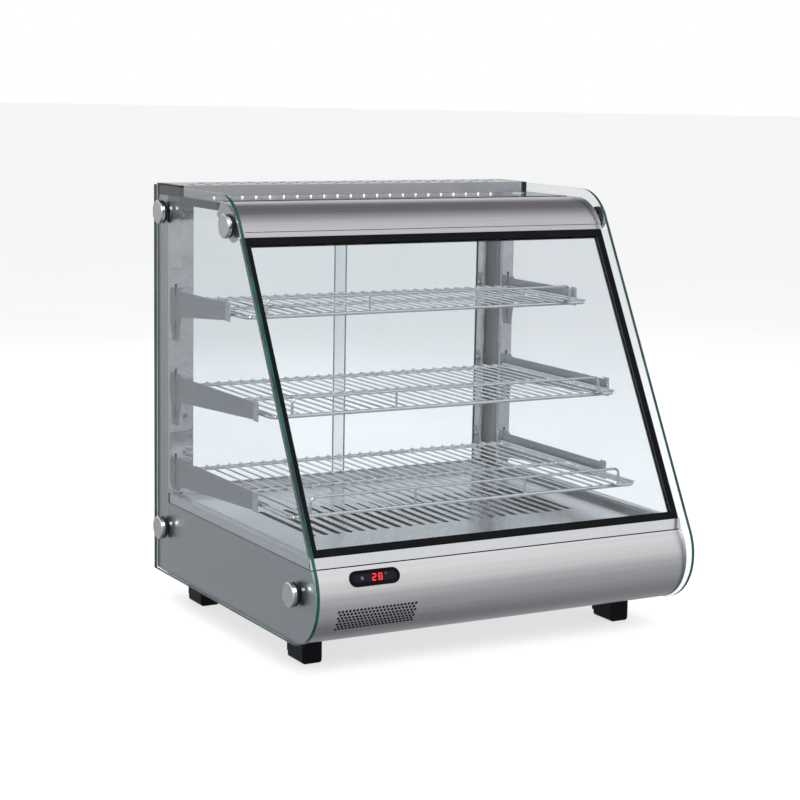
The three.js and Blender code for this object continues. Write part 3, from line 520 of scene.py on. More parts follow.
def arc(centre: Point2, radius: float, start: float, end: float, steps: int) -> list[Point2]:
    """Points along an arc.

    Args:
        centre: Centre of the circle.
        radius: Its radius.
        start: First angle in degrees.
        end: Last angle in degrees.
        steps: Number of chords.

    Returns:
        The points, both ends included.
    """
    angles = [math.radians(start + (end - start) * i / steps) for i in range(steps + 1)]
    return [(centre[0] + radius * math.cos(a), centre[1] + radius * math.sin(a)) for a in angles]


def rounded(width: float, height: float, radius: float, steps: int = 8) -> list[Point2]:
    """Outline of a rectangle about the origin.

    Args:
        width: Its width.
        height: Its height.
        radius: Radius of its corners.
        steps: Chords in each corner.

    Returns:
        The points, anticlockwise.
    """
    x, y = width / 2 - radius, height / 2 - radius
    corners = [((x, y), 0), ((-x, y), 90), ((-x, -y), 180), ((x, -y), 270)]
    return [p for c, a in corners for p in arc(c, radius, a, a + 90, steps)]


class Shape:
    """A mesh under construction, whose faces carry the number of their material."""

    def __init__(self) -> None:
        """Starts empty."""
        self.bm = bmesh.new()

    def add_mesh(self, mesh: bpy.types.Mesh, material: int = 0,
                 move: Optional[Matrix] = None) -> "Shape":
        """Adds a mesh's faces.

        Args:
            mesh: The mesh, which is removed.
            material: Number of the material of them all.
            move: Matrix applied to it first.

        Returns:
            This shape.
        """
        before = len(self.bm.faces)
        if move is not None:
            mesh.transform(move)
        self.bm.from_mesh(mesh)
        self.bm.faces.ensure_lookup_table()
        for face in self.bm.faces[before:]:
            face.material_index = material
        bpy.data.meshes.remove(mesh)
        return self

    def tube(self, path: Sequence[Point3], radius: float, closed: bool = False,
             material: int = 0, fineness: int = 3) -> "Shape":
        """Adds a round rod.

        Args:
            path: Points of its centre line.
            radius: Radius of the rod.
            closed: Whether the path is a loop.
            material: Number of its material.
            fineness: Bevel resolution, from 1.

        Returns:
            This shape.
        """
        curve = bpy.data.curves.new("rod", "CURVE")
        curve.dimensions = "3D"
        curve.bevel_depth = radius
        curve.bevel_resolution = fineness
        curve.use_fill_caps = not closed
        spline = curve.splines.new("POLY")
        spline.points.add(len(path) - 1)
        for point, place in zip(spline.points, path):
            point.co = (*place, 1.0)
        spline.use_cyclic_u = closed
        mesh = applied(linked("rod", curve))
        part = bmesh.new()
        part.from_mesh(mesh)
        bmesh.ops.remove_doubles(part, verts=part.verts, dist=1e-7)
        bmesh.ops.recalc_face_normals(part, faces=part.faces)
        part.to_mesh(mesh)
        part.free()
        return self.add_mesh(mesh, material)

    def prism(self, outline: Sequence[Point2], low: float, high: float, axis: Axis = Axis.Z,
              material: int = 0, move: Optional[Matrix] = None) -> "Shape":
        """Adds an outline extruded along an axis.

        Args:
            outline: Points in the plane across the axis: (Y, Z), (X, Z) or (X, Y).
            low: Where it starts along the axis.
            high: Where it ends.
            axis: The axis.
            material: Number of its material.
            move: Matrix applied to it afterwards.

        Returns:
            This shape.
        """
        def place(point: Point2, along: float) -> Point3:
            """Puts an outline point in space."""
            return {Axis.X: (along, point[0], point[1]), Axis.Y: (point[0], along, point[1]),
                    Axis.Z: (point[0], point[1], along)}[axis]

        part = bmesh.new()
        bottom = [part.verts.new(place(p, low)) for p in outline]
        top = [part.verts.new(place(p, high)) for p in outline]
        part.faces.new(bottom)
        part.faces.new(top)
        for i in range(len(outline)):
            j = (i + 1) % len(outline)
            part.faces.new((bottom[i], bottom[j], top[j], top[i]))
        bmesh.ops.recalc_face_normals(part, faces=part.faces)
        mesh = bpy.data.meshes.new("prism")
        part.to_mesh(mesh)
        part.free()
        return self.add_mesh(mesh, material, move)

    def lathe(self, profile: Sequence[tuple[float, float, int]], move: Matrix,
              sides: int = 64) -> "Shape":
        """Adds a turned piece.

        Args:
            profile: (radius, height, material of the band that follows) from bottom to top;
                it starts and ends on the axis.
            move: Matrix that takes Z up to the piece's own axis.
            sides: Number of sides.

        Returns:
            This shape.
        """
        part = bmesh.new()
        rings = []
        for radius, height, _ in profile:
            count = 1 if radius < 1e-9 else sides
            rings.append([part.verts.new((radius * math.cos(2 * math.pi * i / sides),
                                          radius * math.sin(2 * math.pi * i / sides), height))
                          for i in range(count)])
        for k in range(len(rings) - 1):
            a, b = rings[k], rings[k + 1]
            for i in range(sides):
                j = (i + 1) % sides
                corners = [a[i % len(a)], a[j % len(a)], b[j % len(b)], b[i % len(b)]]
                unique = list(dict.fromkeys(corners))
                if len(unique) > 2:
                    part.faces.new(unique).material_index = profile[k][2]
        bmesh.ops.recalc_face_normals(part, faces=part.faces)
        part.transform(move)
        mesh = bpy.data.meshes.new("turned")
        part.to_mesh(mesh)
        part.free()
        start = len(self.bm.faces)
        kept = [polygon.material_index for polygon in mesh.polygons]
        self.add_mesh(mesh)
        self.bm.faces.ensure_lookup_table()
        for face, material in zip(self.bm.faces[start:], kept):
            face.material_index = material
        return self

    def cad(self, node: str, choose: Optional[Callable[[Vector, Vector], int]] = None,
            pierced: bool = False) -> "Shape":
        """Adds a merged copy of a CAD node.

        Args:
            node: Name of the node.
            choose: Gives a face's material from its centre and normal, both in metres.
            pierced: Whether its flat faces have holes, and so keep their triangles.

        Returns:
            This shape.
        """
        part = bmesh.new()
        part.from_mesh(frame["nodes"][node].data)
        bmesh.ops.remove_doubles(part, verts=part.verts, dist=2e-6)
        if not pierced:
            bmesh.ops.dissolve_limit(part, angle_limit=math.radians(0.4), verts=part.verts,
                                     edges=part.edges, delimit={"NORMAL"})
        mesh = bpy.data.meshes.new("copy")
        part.to_mesh(mesh)
        part.free()
        start = len(self.bm.faces)
        self.add_mesh(mesh)
        if choose:
            self.bm.faces.ensure_lookup_table()
            self.bm.normal_update()
            for face in self.bm.faces[start:]:
                face.material_index = choose(face.calc_center_median(), face.normal)
        return self

    def piece(self, name: str, body: str, materials: Sequence[bpy.types.Material],
              replaces: Sequence[str] = (), slot: str = "", bevel: float = 0.0,
              angle: float = 32.0, segments: int = 2, even: bool = False,
              normal: Optional[Callable[[Vector, Vector], Vector]] = None) -> bpy.types.Object:
        """Finishes the shape as a piece of the case.

        Args:
            name: Name of the piece.
            body: Body that it rides on.
            materials: Its materials, in the order of their numbers.
            replaces: CAD nodes that it stands for.
            slot: Material slot of the record; not used.
            bevel: Width of the rounding of its edges, in metres.
            angle: Edges sharper than this, in degrees, stay sharp and take the rounding.
            segments: Steps of the rounding.
            even: Whether large faces keep their own normals next to small ones.
            normal: Gives a corner's normal from its place and its face's normal.

        Returns:
            The finished object.
        """
        mesh = bpy.data.meshes.new(name)
        self.bm.to_mesh(mesh)
        self.bm.free()
        for material in materials:
            mesh.materials.append(material)
        mesh.shade_smooth()
        mesh.set_sharp_from_angle(angle=math.radians(angle))
        if bevel:
            rough = linked(name + "_rough", mesh)
            made = rough.modifiers.new("edges", "BEVEL")
            made.width = bevel
            made.segments = segments
            made.limit_method = "ANGLE"
            made.angle_limit = math.radians(angle)
            made.harden_normals = True
            made.use_clamp_overlap = True
            mesh = applied(rough)
            mesh.name = name
        elif even:
            rough = linked(name + "_rough", mesh)
            made = rough.modifiers.new("faces", "WEIGHTED_NORMAL")
            made.keep_sharp = True
            made.weight = 90
            mesh = applied(rough)
            mesh.name = name
        if normal:
            mesh.normals_split_custom_set([
                normal(mesh.vertices[mesh.loops[i].vertex_index].co, polygon.normal)
                for polygon in mesh.polygons for i in polygon.loop_indices])
        finished = linked(name, mesh)
        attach(finished, body)
        if replaces:
            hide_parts(*replaces)
        log.info("%s: %d faces on %s", name, len(mesh.polygons), body)
        return finished


class Repeated:
    """Geometry Nodes that repeat one small mesh, and the plain mesh that comes of them."""

    def __init__(self, source: bpy.types.Mesh, material: bpy.types.Material,
                 host: Optional[bpy.types.Mesh] = None) -> None:
        """Starts the tree.

        Args:
            source: Mesh of one item, about the origin.
            material: Finish of them all.
            host: Mesh that carries the modifier, or None for an empty one.
        """
        self.item = linked("item", source)
        self.host = linked("repeated", host or bpy.data.meshes.new("repeated"))
        self.material = material
        self.group = bpy.data.node_groups.new("repeated", "GeometryNodeTree")
        self.group.interface.new_socket("Geometry", in_out="OUTPUT",
                                        socket_type="NodeSocketGeometry")
        self.tree = NodeTree(self.group)
        self.values: dict[str, Any] = {}

    def given(self, name: str, kind: str, value: Any = None) -> Wire:
        """Adds a named input to the tree.

        Args:
            name: Its name.
            kind: Its socket type, without the common start of the name.
            value: Its value, or None for the host's own geometry.

        Returns:
            The input as a wire.
        """
        socket = self.group.interface.new_socket(name, in_out="INPUT",
                                                 socket_type="NodeSocket" + kind)
        if value is not None:
            self.values[socket.identifier] = value
        return self.tree.node("NodeGroupInput", output=name)

    def evaluated(self, points: Wire, **extra: Wire) -> bpy.types.Mesh:
        """Puts the item on points and evaluates the tree.

        Args:
            points: Where the items go.
            **extra: Other inputs of the instances, such as Rotation.

        Returns:
            All the items as one plain mesh.
        """
        item = self.tree.node("GeometryNodeObjectInfo", {},
                              {"Object": self.given("Item", "Object", self.item)}, "Geometry")
        finish = self.given("Finish", "Material", self.material)
        many = self.tree.node("GeometryNodeInstanceOnPoints", {},
                              {"Points": points, "Instance": item, **extra})
        real = self.tree.node("GeometryNodeRealizeInstances", {}, {"Geometry": many})
        dressed = self.tree.node("GeometryNodeSetMaterial", {},
                                 {"Geometry": real, "Material": finish})
        self.tree.node("NodeGroupOutput", {}, {"Geometry": dressed})
        modifier = self.host.modifiers.new("repeated", "NODES")
        modifier.node_group = self.group
        for identifier, value in self.values.items():
            modifier[identifier] = value
        made = applied(self.host)
        bpy.data.objects.remove(self.item)
        return made

    def row(self, count: int, start: Point3, pitch: Point3) -> bpy.types.Mesh:
        """Repeats the item along a straight line.

        Args:
            count: Number of items.
            start: Place of the first one.
            pitch: Step to the next.

        Returns:
            The row as a plain mesh.
        """
        inputs = {"Count": self.given("Count", "Int", count),
                  "Start Location": self.given("Start", "Vector", start),
                  "Offset": self.given("Pitch", "Vector", pitch)}
        line = self.tree.node("GeometryNodeMeshLine", {"mode": "OFFSET", "count_mode": "TOTAL"},
                              inputs)
        return self.evaluated(line)

    def round_axis(self, axis: Point3) -> bpy.types.Mesh:
        """Repeats the item at the host's vertices, facing away from an axis along X.

        Args:
            axis: A point on the axis.

        Returns:
            The items as one plain mesh.
        """
        host = self.given("Geometry", "Geometry")
        away = self.tree.node("ShaderNodeVectorMath", {"operation": "SUBTRACT"},
                              {0: self.tree.node("GeometryNodeInputPosition"),
                               1: self.given("Axis", "Vector", axis)})
        flat = self.tree.node("ShaderNodeVectorMath", {"operation": "MULTIPLY"},
                              {0: away, 1: (0.0, 1.0, 1.0)})
        turn = self.tree.node("FunctionNodeAlignRotationToVector", {"axis": "Z"},
                              {"Vector": flat})
        points = self.tree.node("GeometryNodeMeshToPoints", {}, {0: host})
        return self.evaluated(points, Rotation=turn)


def body_of(node: str) -> str:
    """Name of the body that a CAD node rides on."""
    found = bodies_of(frame["nodes"][node])
    return found[0] if isinstance(found, (list, tuple)) else found


@dataclass
class Copies:
    """Pieces that keep their CAD shape and take rounded edges and a finish."""

    material: bpy.types.Material
    slot: str
    bevel: float = 0.0005
    pierced: bool = False

    def make(self, *nodes: str) -> list[bpy.types.Object]:
        """Makes one piece for each node."""
        return [Shape().cad(node, pierced=self.pierced).piece(
            node + "_skin", body_of(node), [self.material], [node], self.slot, self.bevel,
            even=self.pierced) for node in nodes]


# ---- The stage -----------------------------------------------------------


@dataclass(frozen=True)
class Lamp:
    """A round soft lamp: where it stands and faces, its diameter, and its power in watts."""

    name: str
    place: Point3
    size: float
    power: float
    aim: Point3
    mirrored: bool = False


@dataclass
class Stage:
    """Camera, floor and soft light."""

    lens: float = 91.834
    place: Point3 = (-1.5764, -2.7334, 0.8480)
    forward: Point3 = (0.48514373, 0.86013048, -0.15751544)
    roll: float = 1.03
    floor: float = 60.0
    floor_tone: float = 0.36
    floor_drift: float = 0.03
    floor_lift: float = 0.68
    rear_shade: float = 0.8
    lamps: tuple[Lamp, ...] = (
        Lamp("key", (-1.6, -2.2, 2.4), 1.6, 55.0, (0.0, 0.0, 0.35), True),
        Lamp("fill", (2.2, -1.4, 1.8), 2.0, 22.0, (0.0, 0.0, 0.35)),
        Lamp("top", (0.0, 0.4, 2.6), 2.2, 40.0, (0.0, 0.0, 0.3)),
        Lamp("back", (0.3, 2.6, 1.6), 2.0, 26.0, (0.0, 0.0, 0.35)))
    # tones of the surroundings in reflections, from straight below to straight above
    tones: tuple[tuple[float, Point3], ...] = (
        (0.0, (0.05, 0.05, 0.055)), (0.06, (0.20, 0.205, 0.22)), (0.15, (0.34, 0.345, 0.36)),
        (0.42, (0.50, 0.505, 0.52)), (0.58, (0.80, 0.805, 0.82)), (0.80, (0.96, 0.96, 0.97)),
        (1.0, (1.0, 1.0, 1.0)))

    def camera(self) -> None:
        """Makes the camera."""
        data = bpy.data.cameras.new("camera")
        data.lens = self.lens
        data.sensor_width = 36.0
        data.clip_end = 50.0
        made = linked("camera", data)
        turn = Vector(self.forward).to_track_quat("-Z", "Y")
        spin = Matrix.Rotation(math.radians(self.roll), 4, "Z")
        made.matrix_world = Matrix.Translation(self.place) @ turn.to_matrix().to_4x4() @ spin
        bpy.context.scene.camera = made

    def ground(self) -> None:
        """Makes the pale floor."""
        s = Surface("pale_floor")
        cloud = s.noise((2.0, 2.0, 2.0), detail=2.0)
        tone = cloud.ramp(0.2, 0.8, self.floor_tone, self.floor_tone + self.floor_drift)
        colour = s.mix(tone, (0, 0, 0, 1), (1, 1, 1, 1))
        material = s.finish(s.principled(Base_Color=colour, Roughness=0.9, Specular_IOR_Level=0.1,
                                         Emission_Color=(1.0, 1.0, 1.0),
                                         Emission_Strength=self.floor_lift))
        mesh = bpy.data.meshes.new("floor")
        half = self.floor
        mesh.from_pydata([(-half, -half, 0), (half, -half, 0), (half, half, 0), (-half, half, 0)],
                         [], [(0, 1, 2, 3)])
        mesh.materials.append(material)
        made = linked("floor", mesh)
        made.visible_glossy = False

    def light(self, lamp: Lamp) -> None:
        """Adds one soft lamp.

        Args:
            lamp: Its place, size and power.
        """
        data = bpy.data.lights.new(lamp.name, "AREA")
        data.shape = "DISK"
        data.size = lamp.size
        data.energy = lamp.power
        made = linked(lamp.name, data)
        made.visible_glossy = lamp.mirrored
        made.location = lamp.place
        made.rotation_mode = "QUATERNION"
        made.rotation_quaternion = (Vector(lamp.aim) - Vector(lamp.place)).to_track_quat("-Z", "Y")

    def sky(self) -> None:
        """Makes the surroundings: plain white to the eye, a soft gradient to the metal."""
        world = bpy.data.worlds.new("studio")
        world.use_nodes = True
        bpy.context.scene.world = world
        tree = NodeTree(world.node_tree)
        world.node_tree.nodes.clear()
        way = tree.node("ShaderNodeTexCoord", output="Generated")
        height = tree.node("ShaderNodeSeparateXYZ", {}, {0: way}, "Z")
        depth = tree.node("ShaderNodeSeparateXYZ", {}, {0: way}, "Y")
        level = height * 0.5 + 0.5
        colour = tree.node("ShaderNodeValToRGB", {"stops": self.tones}, {0: level})
        shade = depth.ramp(-0.5, 0.3) * height.ramp(0.35, 0.6) * self.rear_shade
        soft = tree.node("ShaderNodeBackground", {}, {0: colour, 1: (1.0 - shade) * 0.98})
        white = tree.node("ShaderNodeBackground", {}, {0: (1.0, 1.0, 1.0, 1.0), 1: 1.0})
        seen = tree.node("ShaderNodeLightPath", output="Is Camera Ray")
        both = tree.node("ShaderNodeMixShader", {}, {0: seen, 1: soft, 2: white})
        tree.node("ShaderNodeOutputWorld", {}, {"Surface": both})

    def build(self) -> None:
        """Makes it all."""
        bpy.context.scene.view_settings.view_transform = "Standard"
        self.camera()
        self.ground()
        self.sky()
        for lamp in self.lamps:
            self.light(lamp)


# ---- Sub-assemblies ------------------------------------------------------


@dataclass
class Base:
    """Front panel, side sheets, pan, feet and the sheet behind."""

    finishes: Finishes
    edge: float = 0.0004
    curve: Point2 = (-0.2084, 0.1165)
    # radius of the black sheet behind the vent holes, which is painted shade
    screen_radius: float = 0.0691
    outer_radius: float = 0.0710
    hole_radius: float = 0.0019
    ring_radius: float = 0.00225
    ring_lap: float = 0.0002
    ring_proud: float = 0.00012
    ring_depth: float = 0.0004
    reach: float = 0.0006
    straight_from: float = 151.397
    # angular span and X extent of the vent and of its painted-shade sheet
    screen_span: tuple[float, float] = (184.0, 224.0)
    screen_x: tuple[float, float] = (-0.288, -0.154)

    def radial(self, place: Vector) -> Vector:
        """Direction of the sheet's own normal on the front panel.

        Args:
            place: A point on the panel.

        Returns:
            The direction, outwards.
        """
        y, z = place.y - self.curve[0], place.z - self.curve[1]
        angle = math.degrees(math.atan2(z, y)) % 360
        angle = max(self.straight_from, min(angle, 270.0)) if angle > 90.0 else 270.0
        return Vector((0.0, math.cos(math.radians(angle)), math.sin(math.radians(angle))))

    def hole_wall(self, c: Vector, n: Vector) -> int:
        """Number of the material of a face of the front panel: 1 on the walls of the vent, which
        are painted shade.
        """
        low, high = self.screen_x
        return 1 if low < c.x < high and abs(n.dot(self.radial(c))) < 0.5 and c.z < 0.125 else 0

    def vent_places(self) -> list[Vector]:
        """Finds the vent holes in the CAD panel.

        Returns:
            Their centres on the panel's outer face.
        """
        part = bmesh.new()
        part.from_mesh(frame["nodes"]["front_panel"].data)
        bmesh.ops.remove_doubles(part, verts=part.verts, dist=2e-6)
        part.normal_update()
        walls = {f for f in part.faces if self.hole_wall(f.calc_center_median(), f.normal)}
        places = []
        while walls:
            group, queue = set(), [walls.pop()]
            while queue:
                face = queue.pop()
                group.add(face)
                near = {f for edge in face.edges for f in edge.link_faces if f in walls}
                walls -= near
                queue.extend(near)
            corners = {v for face in group for v in face.verts}
            far = [v.co for v in corners
                   if math.dist((v.co.y, v.co.z), self.curve) > self.outer_radius - self.reach]
            if len(far) > 3:
                low = Vector(min(c[i] for c in far) for i in range(3))
                high = Vector(max(c[i] for c in far) for i in range(3))
                places.append((low + high) / 2)
        part.free()
        return places

    def vent_rings(self) -> None:
        """Makes a black ring round the edge of every vent hole: painted shade that widens each
        hole's dark.
        """
        inner, outer, sides = self.hole_radius - self.ring_lap, self.ring_radius, 12
        proud, depth = self.ring_proud, -self.ring_depth
        ring = Shape()
        rows = [[ring.bm.verts.new((r * math.cos(2 * math.pi * i / sides),
                                    r * math.sin(2 * math.pi * i / sides), z))
                 for i in range(sides)]
                for r, z in ((inner, proud), (outer, proud), (outer, depth), (inner, depth))]
        for k in range(4):
            for i in range(sides):
                j, n = (i + 1) % sides, (k + 1) % 4
                ring.bm.faces.new((rows[k][i], rows[n][i], rows[n][j], rows[k][j]))
        bmesh.ops.recalc_face_normals(ring.bm, faces=ring.bm.faces)
        item = bpy.data.meshes.new("vent_ring")
        ring.bm.to_mesh(item)
        ring.bm.free()
        places = self.vent_places()
        log.info("vent holes: %d", len(places))
        host = bpy.data.meshes.new("vent_places")
        host.from_pydata([tuple(place) for place in places], [], [])
        rings = Repeated(item, self.finishes.void, host).round_axis((0.0, *self.curve))
        Shape().add_mesh(rings).piece("vent_rings", "root", [self.finishes.void],
                                      slot="panel_steel")

    def curved(self, place: Vector, n: Vector) -> Vector:
        """Normal of a corner of the front panel, smooth round its curve.

        Args:
            place: The corner.
            n: Normal of the face.

        Returns:
            The corner's normal.
        """
        out = self.radial(place)
        along = n.dot(out)
        return out * math.copysign(1.0, along) if abs(along) > 0.97 else n

    def vent_screen(self) -> None:
        """Makes a black sheet behind the vent holes: painted shade for the dark inside."""
        outer = arc(self.curve, self.screen_radius, *self.screen_span, 16)
        inner = arc(self.curve, self.screen_radius - 0.0008, *self.screen_span, 16)
        Shape().prism(outer + inner[::-1], *self.screen_x, Axis.X).piece(
            "vent_screen", "root", [self.finishes.void], slot="black_plastic")

    def build(self) -> None:
        """Makes the base."""
        f = self.finishes
        # The vent's hole walls take the black painted-shade material.
        Shape().cad("front_panel", self.hole_wall, True).piece(
            "front_panel_skin", "root", [f.panel, f.void], ["front_panel"], "panel_steel",
            normal=self.curved)
        self.vent_screen()
        self.vent_rings()
        Copies(f.inner, "panel_steel", 0.0, True).make("rear_base_panel")
        Copies(f.side, "side_steel", self.edge).make("base_side_left", "base_side_right")
        Copies(f.inner, "side_steel", 0.0, True).make("base_pan")
        Copies(f.foot, "black_rubber", 0.004).make(
            "foot_front_left", "foot_front_right", "foot_rear_left", "foot_rear_right")
        Copies(f.plastic, "black_plastic", 0.0005).make("switch_housing", "cord_gland")
        Copies(f.rocker, "rocker_red", 0.0006).make("switch_rocker")


@dataclass
class Display:
    """The temperature display in the front panel: recess, dark window, digits and marks."""

    finishes: Finishes
    digit_height: float = 0.0105
    digit_width: float = 0.0062
    stroke: float = 0.0014
    digit_pitch: float = 0.0098
    digits: str = "28"
    digits_x: float = 0.004
    digit_proud: float = 0.0003
    slant: float = 0.08
    mark_radius: float = 0.0016
    mark_proud: float = 0.0002
    ring_wire: float = 0.0002
    petal: Point3 = (0.0026, 0.0013, 0.0006)
    petals_x: float = 0.265
    ring_at: Point2 = (0.24, 0.2)
    window_inset: float = 0.0030
    proud: float = 0.00035
    # bars of each figure: top, upper left, upper right, middle, lower left, lower right, foot
    bars: dict[str, str] = field(default_factory=lambda: {"2": "1011101", "8": "1111111"})

    def facing(self) -> tuple[Matrix, float, float]:
        """Finds the window's plane in the CAD display.

        Returns:
            A matrix that lays X, Y and Z on the window's width, height and normal, then its
            width and its height.
        """
        part = bmesh.new()
        part.from_mesh(frame["nodes"]["controller"].data)
        bmesh.ops.remove_doubles(part, verts=part.verts, dist=2e-6)
        bmesh.ops.dissolve_limit(part, angle_limit=math.radians(0.4), verts=part.verts,
                                 edges=part.edges)
        part.normal_update()
        front = [face for face in part.faces if face.normal.y < -0.5]
        face = max(front, key=lambda one: one.calc_area())
        normal = face.normal.copy()
        across = Vector((1.0, 0.0, 0.0))
        up = normal.cross(across).normalized()
        xs = [v.co.dot(across) for v in face.verts]
        ups = [v.co.dot(up) for v in face.verts]
        centre = across * (min(xs) + max(xs)) / 2 + up * (min(ups) + max(ups)) / 2
        centre += normal * face.verts[0].co.dot(normal)
        turn = Matrix((across, up, normal)).transposed().to_4x4()
        size = (max(xs) - min(xs), max(ups) - min(ups))
        part.free()
        return Matrix.Translation(centre) @ turn, size[0], size[1]

    def figure(self, shape: Shape, digit: str, x: float, lay: Matrix) -> None:
        """Adds one figure of round-ended bars, a little slanted.

        Args:
            shape: Shape that takes it.
            digit: The figure.
            x: Its centre across the window.
            lay: Matrix of the window.
        """
        w, h, s = self.digit_width, self.digit_height, self.stroke
        gap = s * 0.15
        flat = rounded(w - s - gap, s, s * 0.48, 5)
        tall = rounded(s, h / 2 - s / 2 - gap, s * 0.48, 5)
        places = [(flat, 0, h / 2 - s / 2), (tall, -w / 2 + s / 2, h / 4 - s / 8),
                  (tall, w / 2 - s / 2, h / 4 - s / 8), (flat, 0, 0),
                  (tall, -w / 2 + s / 2, -h / 4 + s / 8), (tall, w / 2 - s / 2, -h / 4 + s / 8),
                  (flat, 0, -h / 2 + s / 2)]
        slant = Matrix(((1, self.slant, 0, 0), (0, 1, 0, 0), (0, 0, 1, 0), (0, 0, 0, 1)))
        for lit, (outline, dx, dy) in zip(self.bars[digit], places):
            if lit == "1":
                move = lay @ Matrix.Translation((x, 0, 0)) @ slant @ Matrix.Translation((dx, dy, 0))
                shape.prism(outline, self.proud, self.proud + self.digit_proud, Axis.Z, 0, move)

    def build(self) -> None:
        """Makes the display."""
        f = self.finishes
        Copies(f.bezel, "display_black", 0.0003).make("controller")
        lay, width, height = self.facing()
        inset = self.window_inset
        pill = rounded(width - inset * 2, height - inset * 2, (height - inset * 2) / 2 - 1e-5, 14)
        Shape().prism(pill, 0.0, self.proud, Axis.Z, 0, lay).piece(
            "display_window", "root", [f.window], slot="display_black", bevel=0.0001)
        digits = Shape()
        for i, digit in enumerate(self.digits):
            x = self.digits_x + (i - (len(self.digits) - 1) / 2) * self.digit_pitch
            self.figure(digits, digit, x, lay)
        digits.piece("display_digits", "root", [f.digit], slot="display_black")
        marks = Shape()
        for k in range(4):
            turn = Matrix.Rotation(math.radians(45 + 90 * k), 4, "Z")
            out = Matrix.Translation((self.mark_radius, 0, 0))
            move = lay @ Matrix.Translation((-width * self.petals_x, 0, 0)) @ turn @ out
            marks.prism(rounded(*self.petal, 4), self.proud, self.proud + self.mark_proud,
                        Axis.Z, 0, move)
        ring = [(self.mark_radius * math.cos(a * math.pi / 12),
                 self.mark_radius * math.sin(a * math.pi / 12), 0.0) for a in range(24)]
        x, y = width * self.ring_at[0], height * self.ring_at[1]
        move = lay @ Matrix.Translation((x, y, self.proud))
        marks.tube([tuple(move @ Vector(p)) for p in ring], self.ring_wire, True, 0, 1)
        marks.piece("display_marks", "root", [f.icon], slot="display_black")


@dataclass
class Glazing:
    """Front glass with its gasket, side panes, roof glass with its trims, and the knobs."""

    finishes: Finishes
    pane_face: float = 0.3253
    stud_back: float = 0.005
    washer: float = 0.0037
    washer_radius: float = 0.0179
    stud_radius: float = 0.004
    knob_radius: float = 0.0187
    knob_height: float = 0.0107
    knob_edge: float = 0.0006
    knob_dish: float = 0.0004
    washer_edge: Point2 = (0.0004, 0.0005)
    # steps of the knob's rim: inset from its radius, drop from its top, material that follows
    knob_rim: tuple[tuple[float, float, int], ...] = (
        (0.0, 0.0022, 1), (0.0006, 0.0010, 1), (0.0019, 0.0001, 1), (0.0023, 0.0, 2),
        (0.0027, 0.0003, 2))
    slope: Point2 = (-0.877957, 0.478739)
    knobs: dict[str, Point2] = field(default_factory=lambda: {
        "upper_rear": (0.2545, 0.628), "lower_rear": (0.2545, 0.1205),
        "upper_front": (0.00403, 0.624), "lower_front": (-0.221, 0.1205)})

    def knob(self, corner: str, side: Side) -> None:
        """Makes one knob on its washer, turned about X.

        Args:
            corner: Corner of the pane that it holds.
            side: Side of the case.
        """
        r, h, w = self.knob_radius, self.knob_height, self.washer
        flat, rise = self.washer_edge
        profile = [(0.0, -self.stud_back, 1), (self.stud_radius, -self.stud_back, 1),
                   (self.stud_radius, 0.0, 0), (self.washer_radius - flat, 0.0, 0),
                   (self.washer_radius, rise, 0), (self.washer_radius, w, 1),
                   (r - self.knob_edge, w, 1), (r, w + self.knob_edge, 1),
                   *[(r - inset, h - drop, band) for inset, drop, band in self.knob_rim],
                   (0.0, h - self.knob_dish, 2)]
        y, z = self.knobs[corner]
        turn = Matrix.Rotation(math.radians(90 * side.value), 4, "Y")
        move = Matrix.Translation((self.pane_face * side.value, y, z)) @ turn
        node = f"glass_knob_{corner}_{side.word}"
        f = self.finishes
        Shape().lathe(profile, move, 72).piece(node + "_turned", "root", [f.rubber, f.rim, f.knob],
                                               [node], "knob_steel", angle=24.0)

    def build(self) -> None:
        """Makes the glazing."""
        f = self.finishes
        for side in Side:
            node = f"side_glass_{side.word}"
            Shape().cad(node, lambda c, n: 0 if abs(n.x) > 0.95 else 1).piece(
                node + "_pane", "root", [f.pane, f.side_edge], [node], "pane_glass")
            for corner in self.knobs:
                self.knob(corner, side)
        across = Vector((0.0, *self.slope))
        Shape().cad("front_glass", lambda c, n: 0 if abs(n.dot(across)) > 0.95 else 1).piece(
            "front_glass_pane", "root", [f.pane, f.door_edge], ["front_glass"], "pane_glass")
        Shape().cad("roof_glass", lambda c, n: 0 if abs(n.z) > 0.95 or n.y > 0.9 else 1).piece(
            "roof_glass_pane", "root", [f.pane, f.door_edge], ["roof_glass"], "pane_glass")
        # The gasket's end faces take the paler copy of its rubber: painted light on the ends.
        Shape().cad("front_glass_gasket", lambda c, n: 1 if abs(n.x) > 0.9 else 0).piece(
            "front_gasket_ring", "root", [f.gasket, f.gasket_side], ["front_glass_gasket"],
            "black_rubber", 0.0009)
        Copies(f.plastic, "black_plastic", 0.0006).make("roof_front_trim")
        Copies(f.grey_plastic, "black_plastic", 0.0006).make(
            "roof_side_trim_left", "roof_side_trim_right")


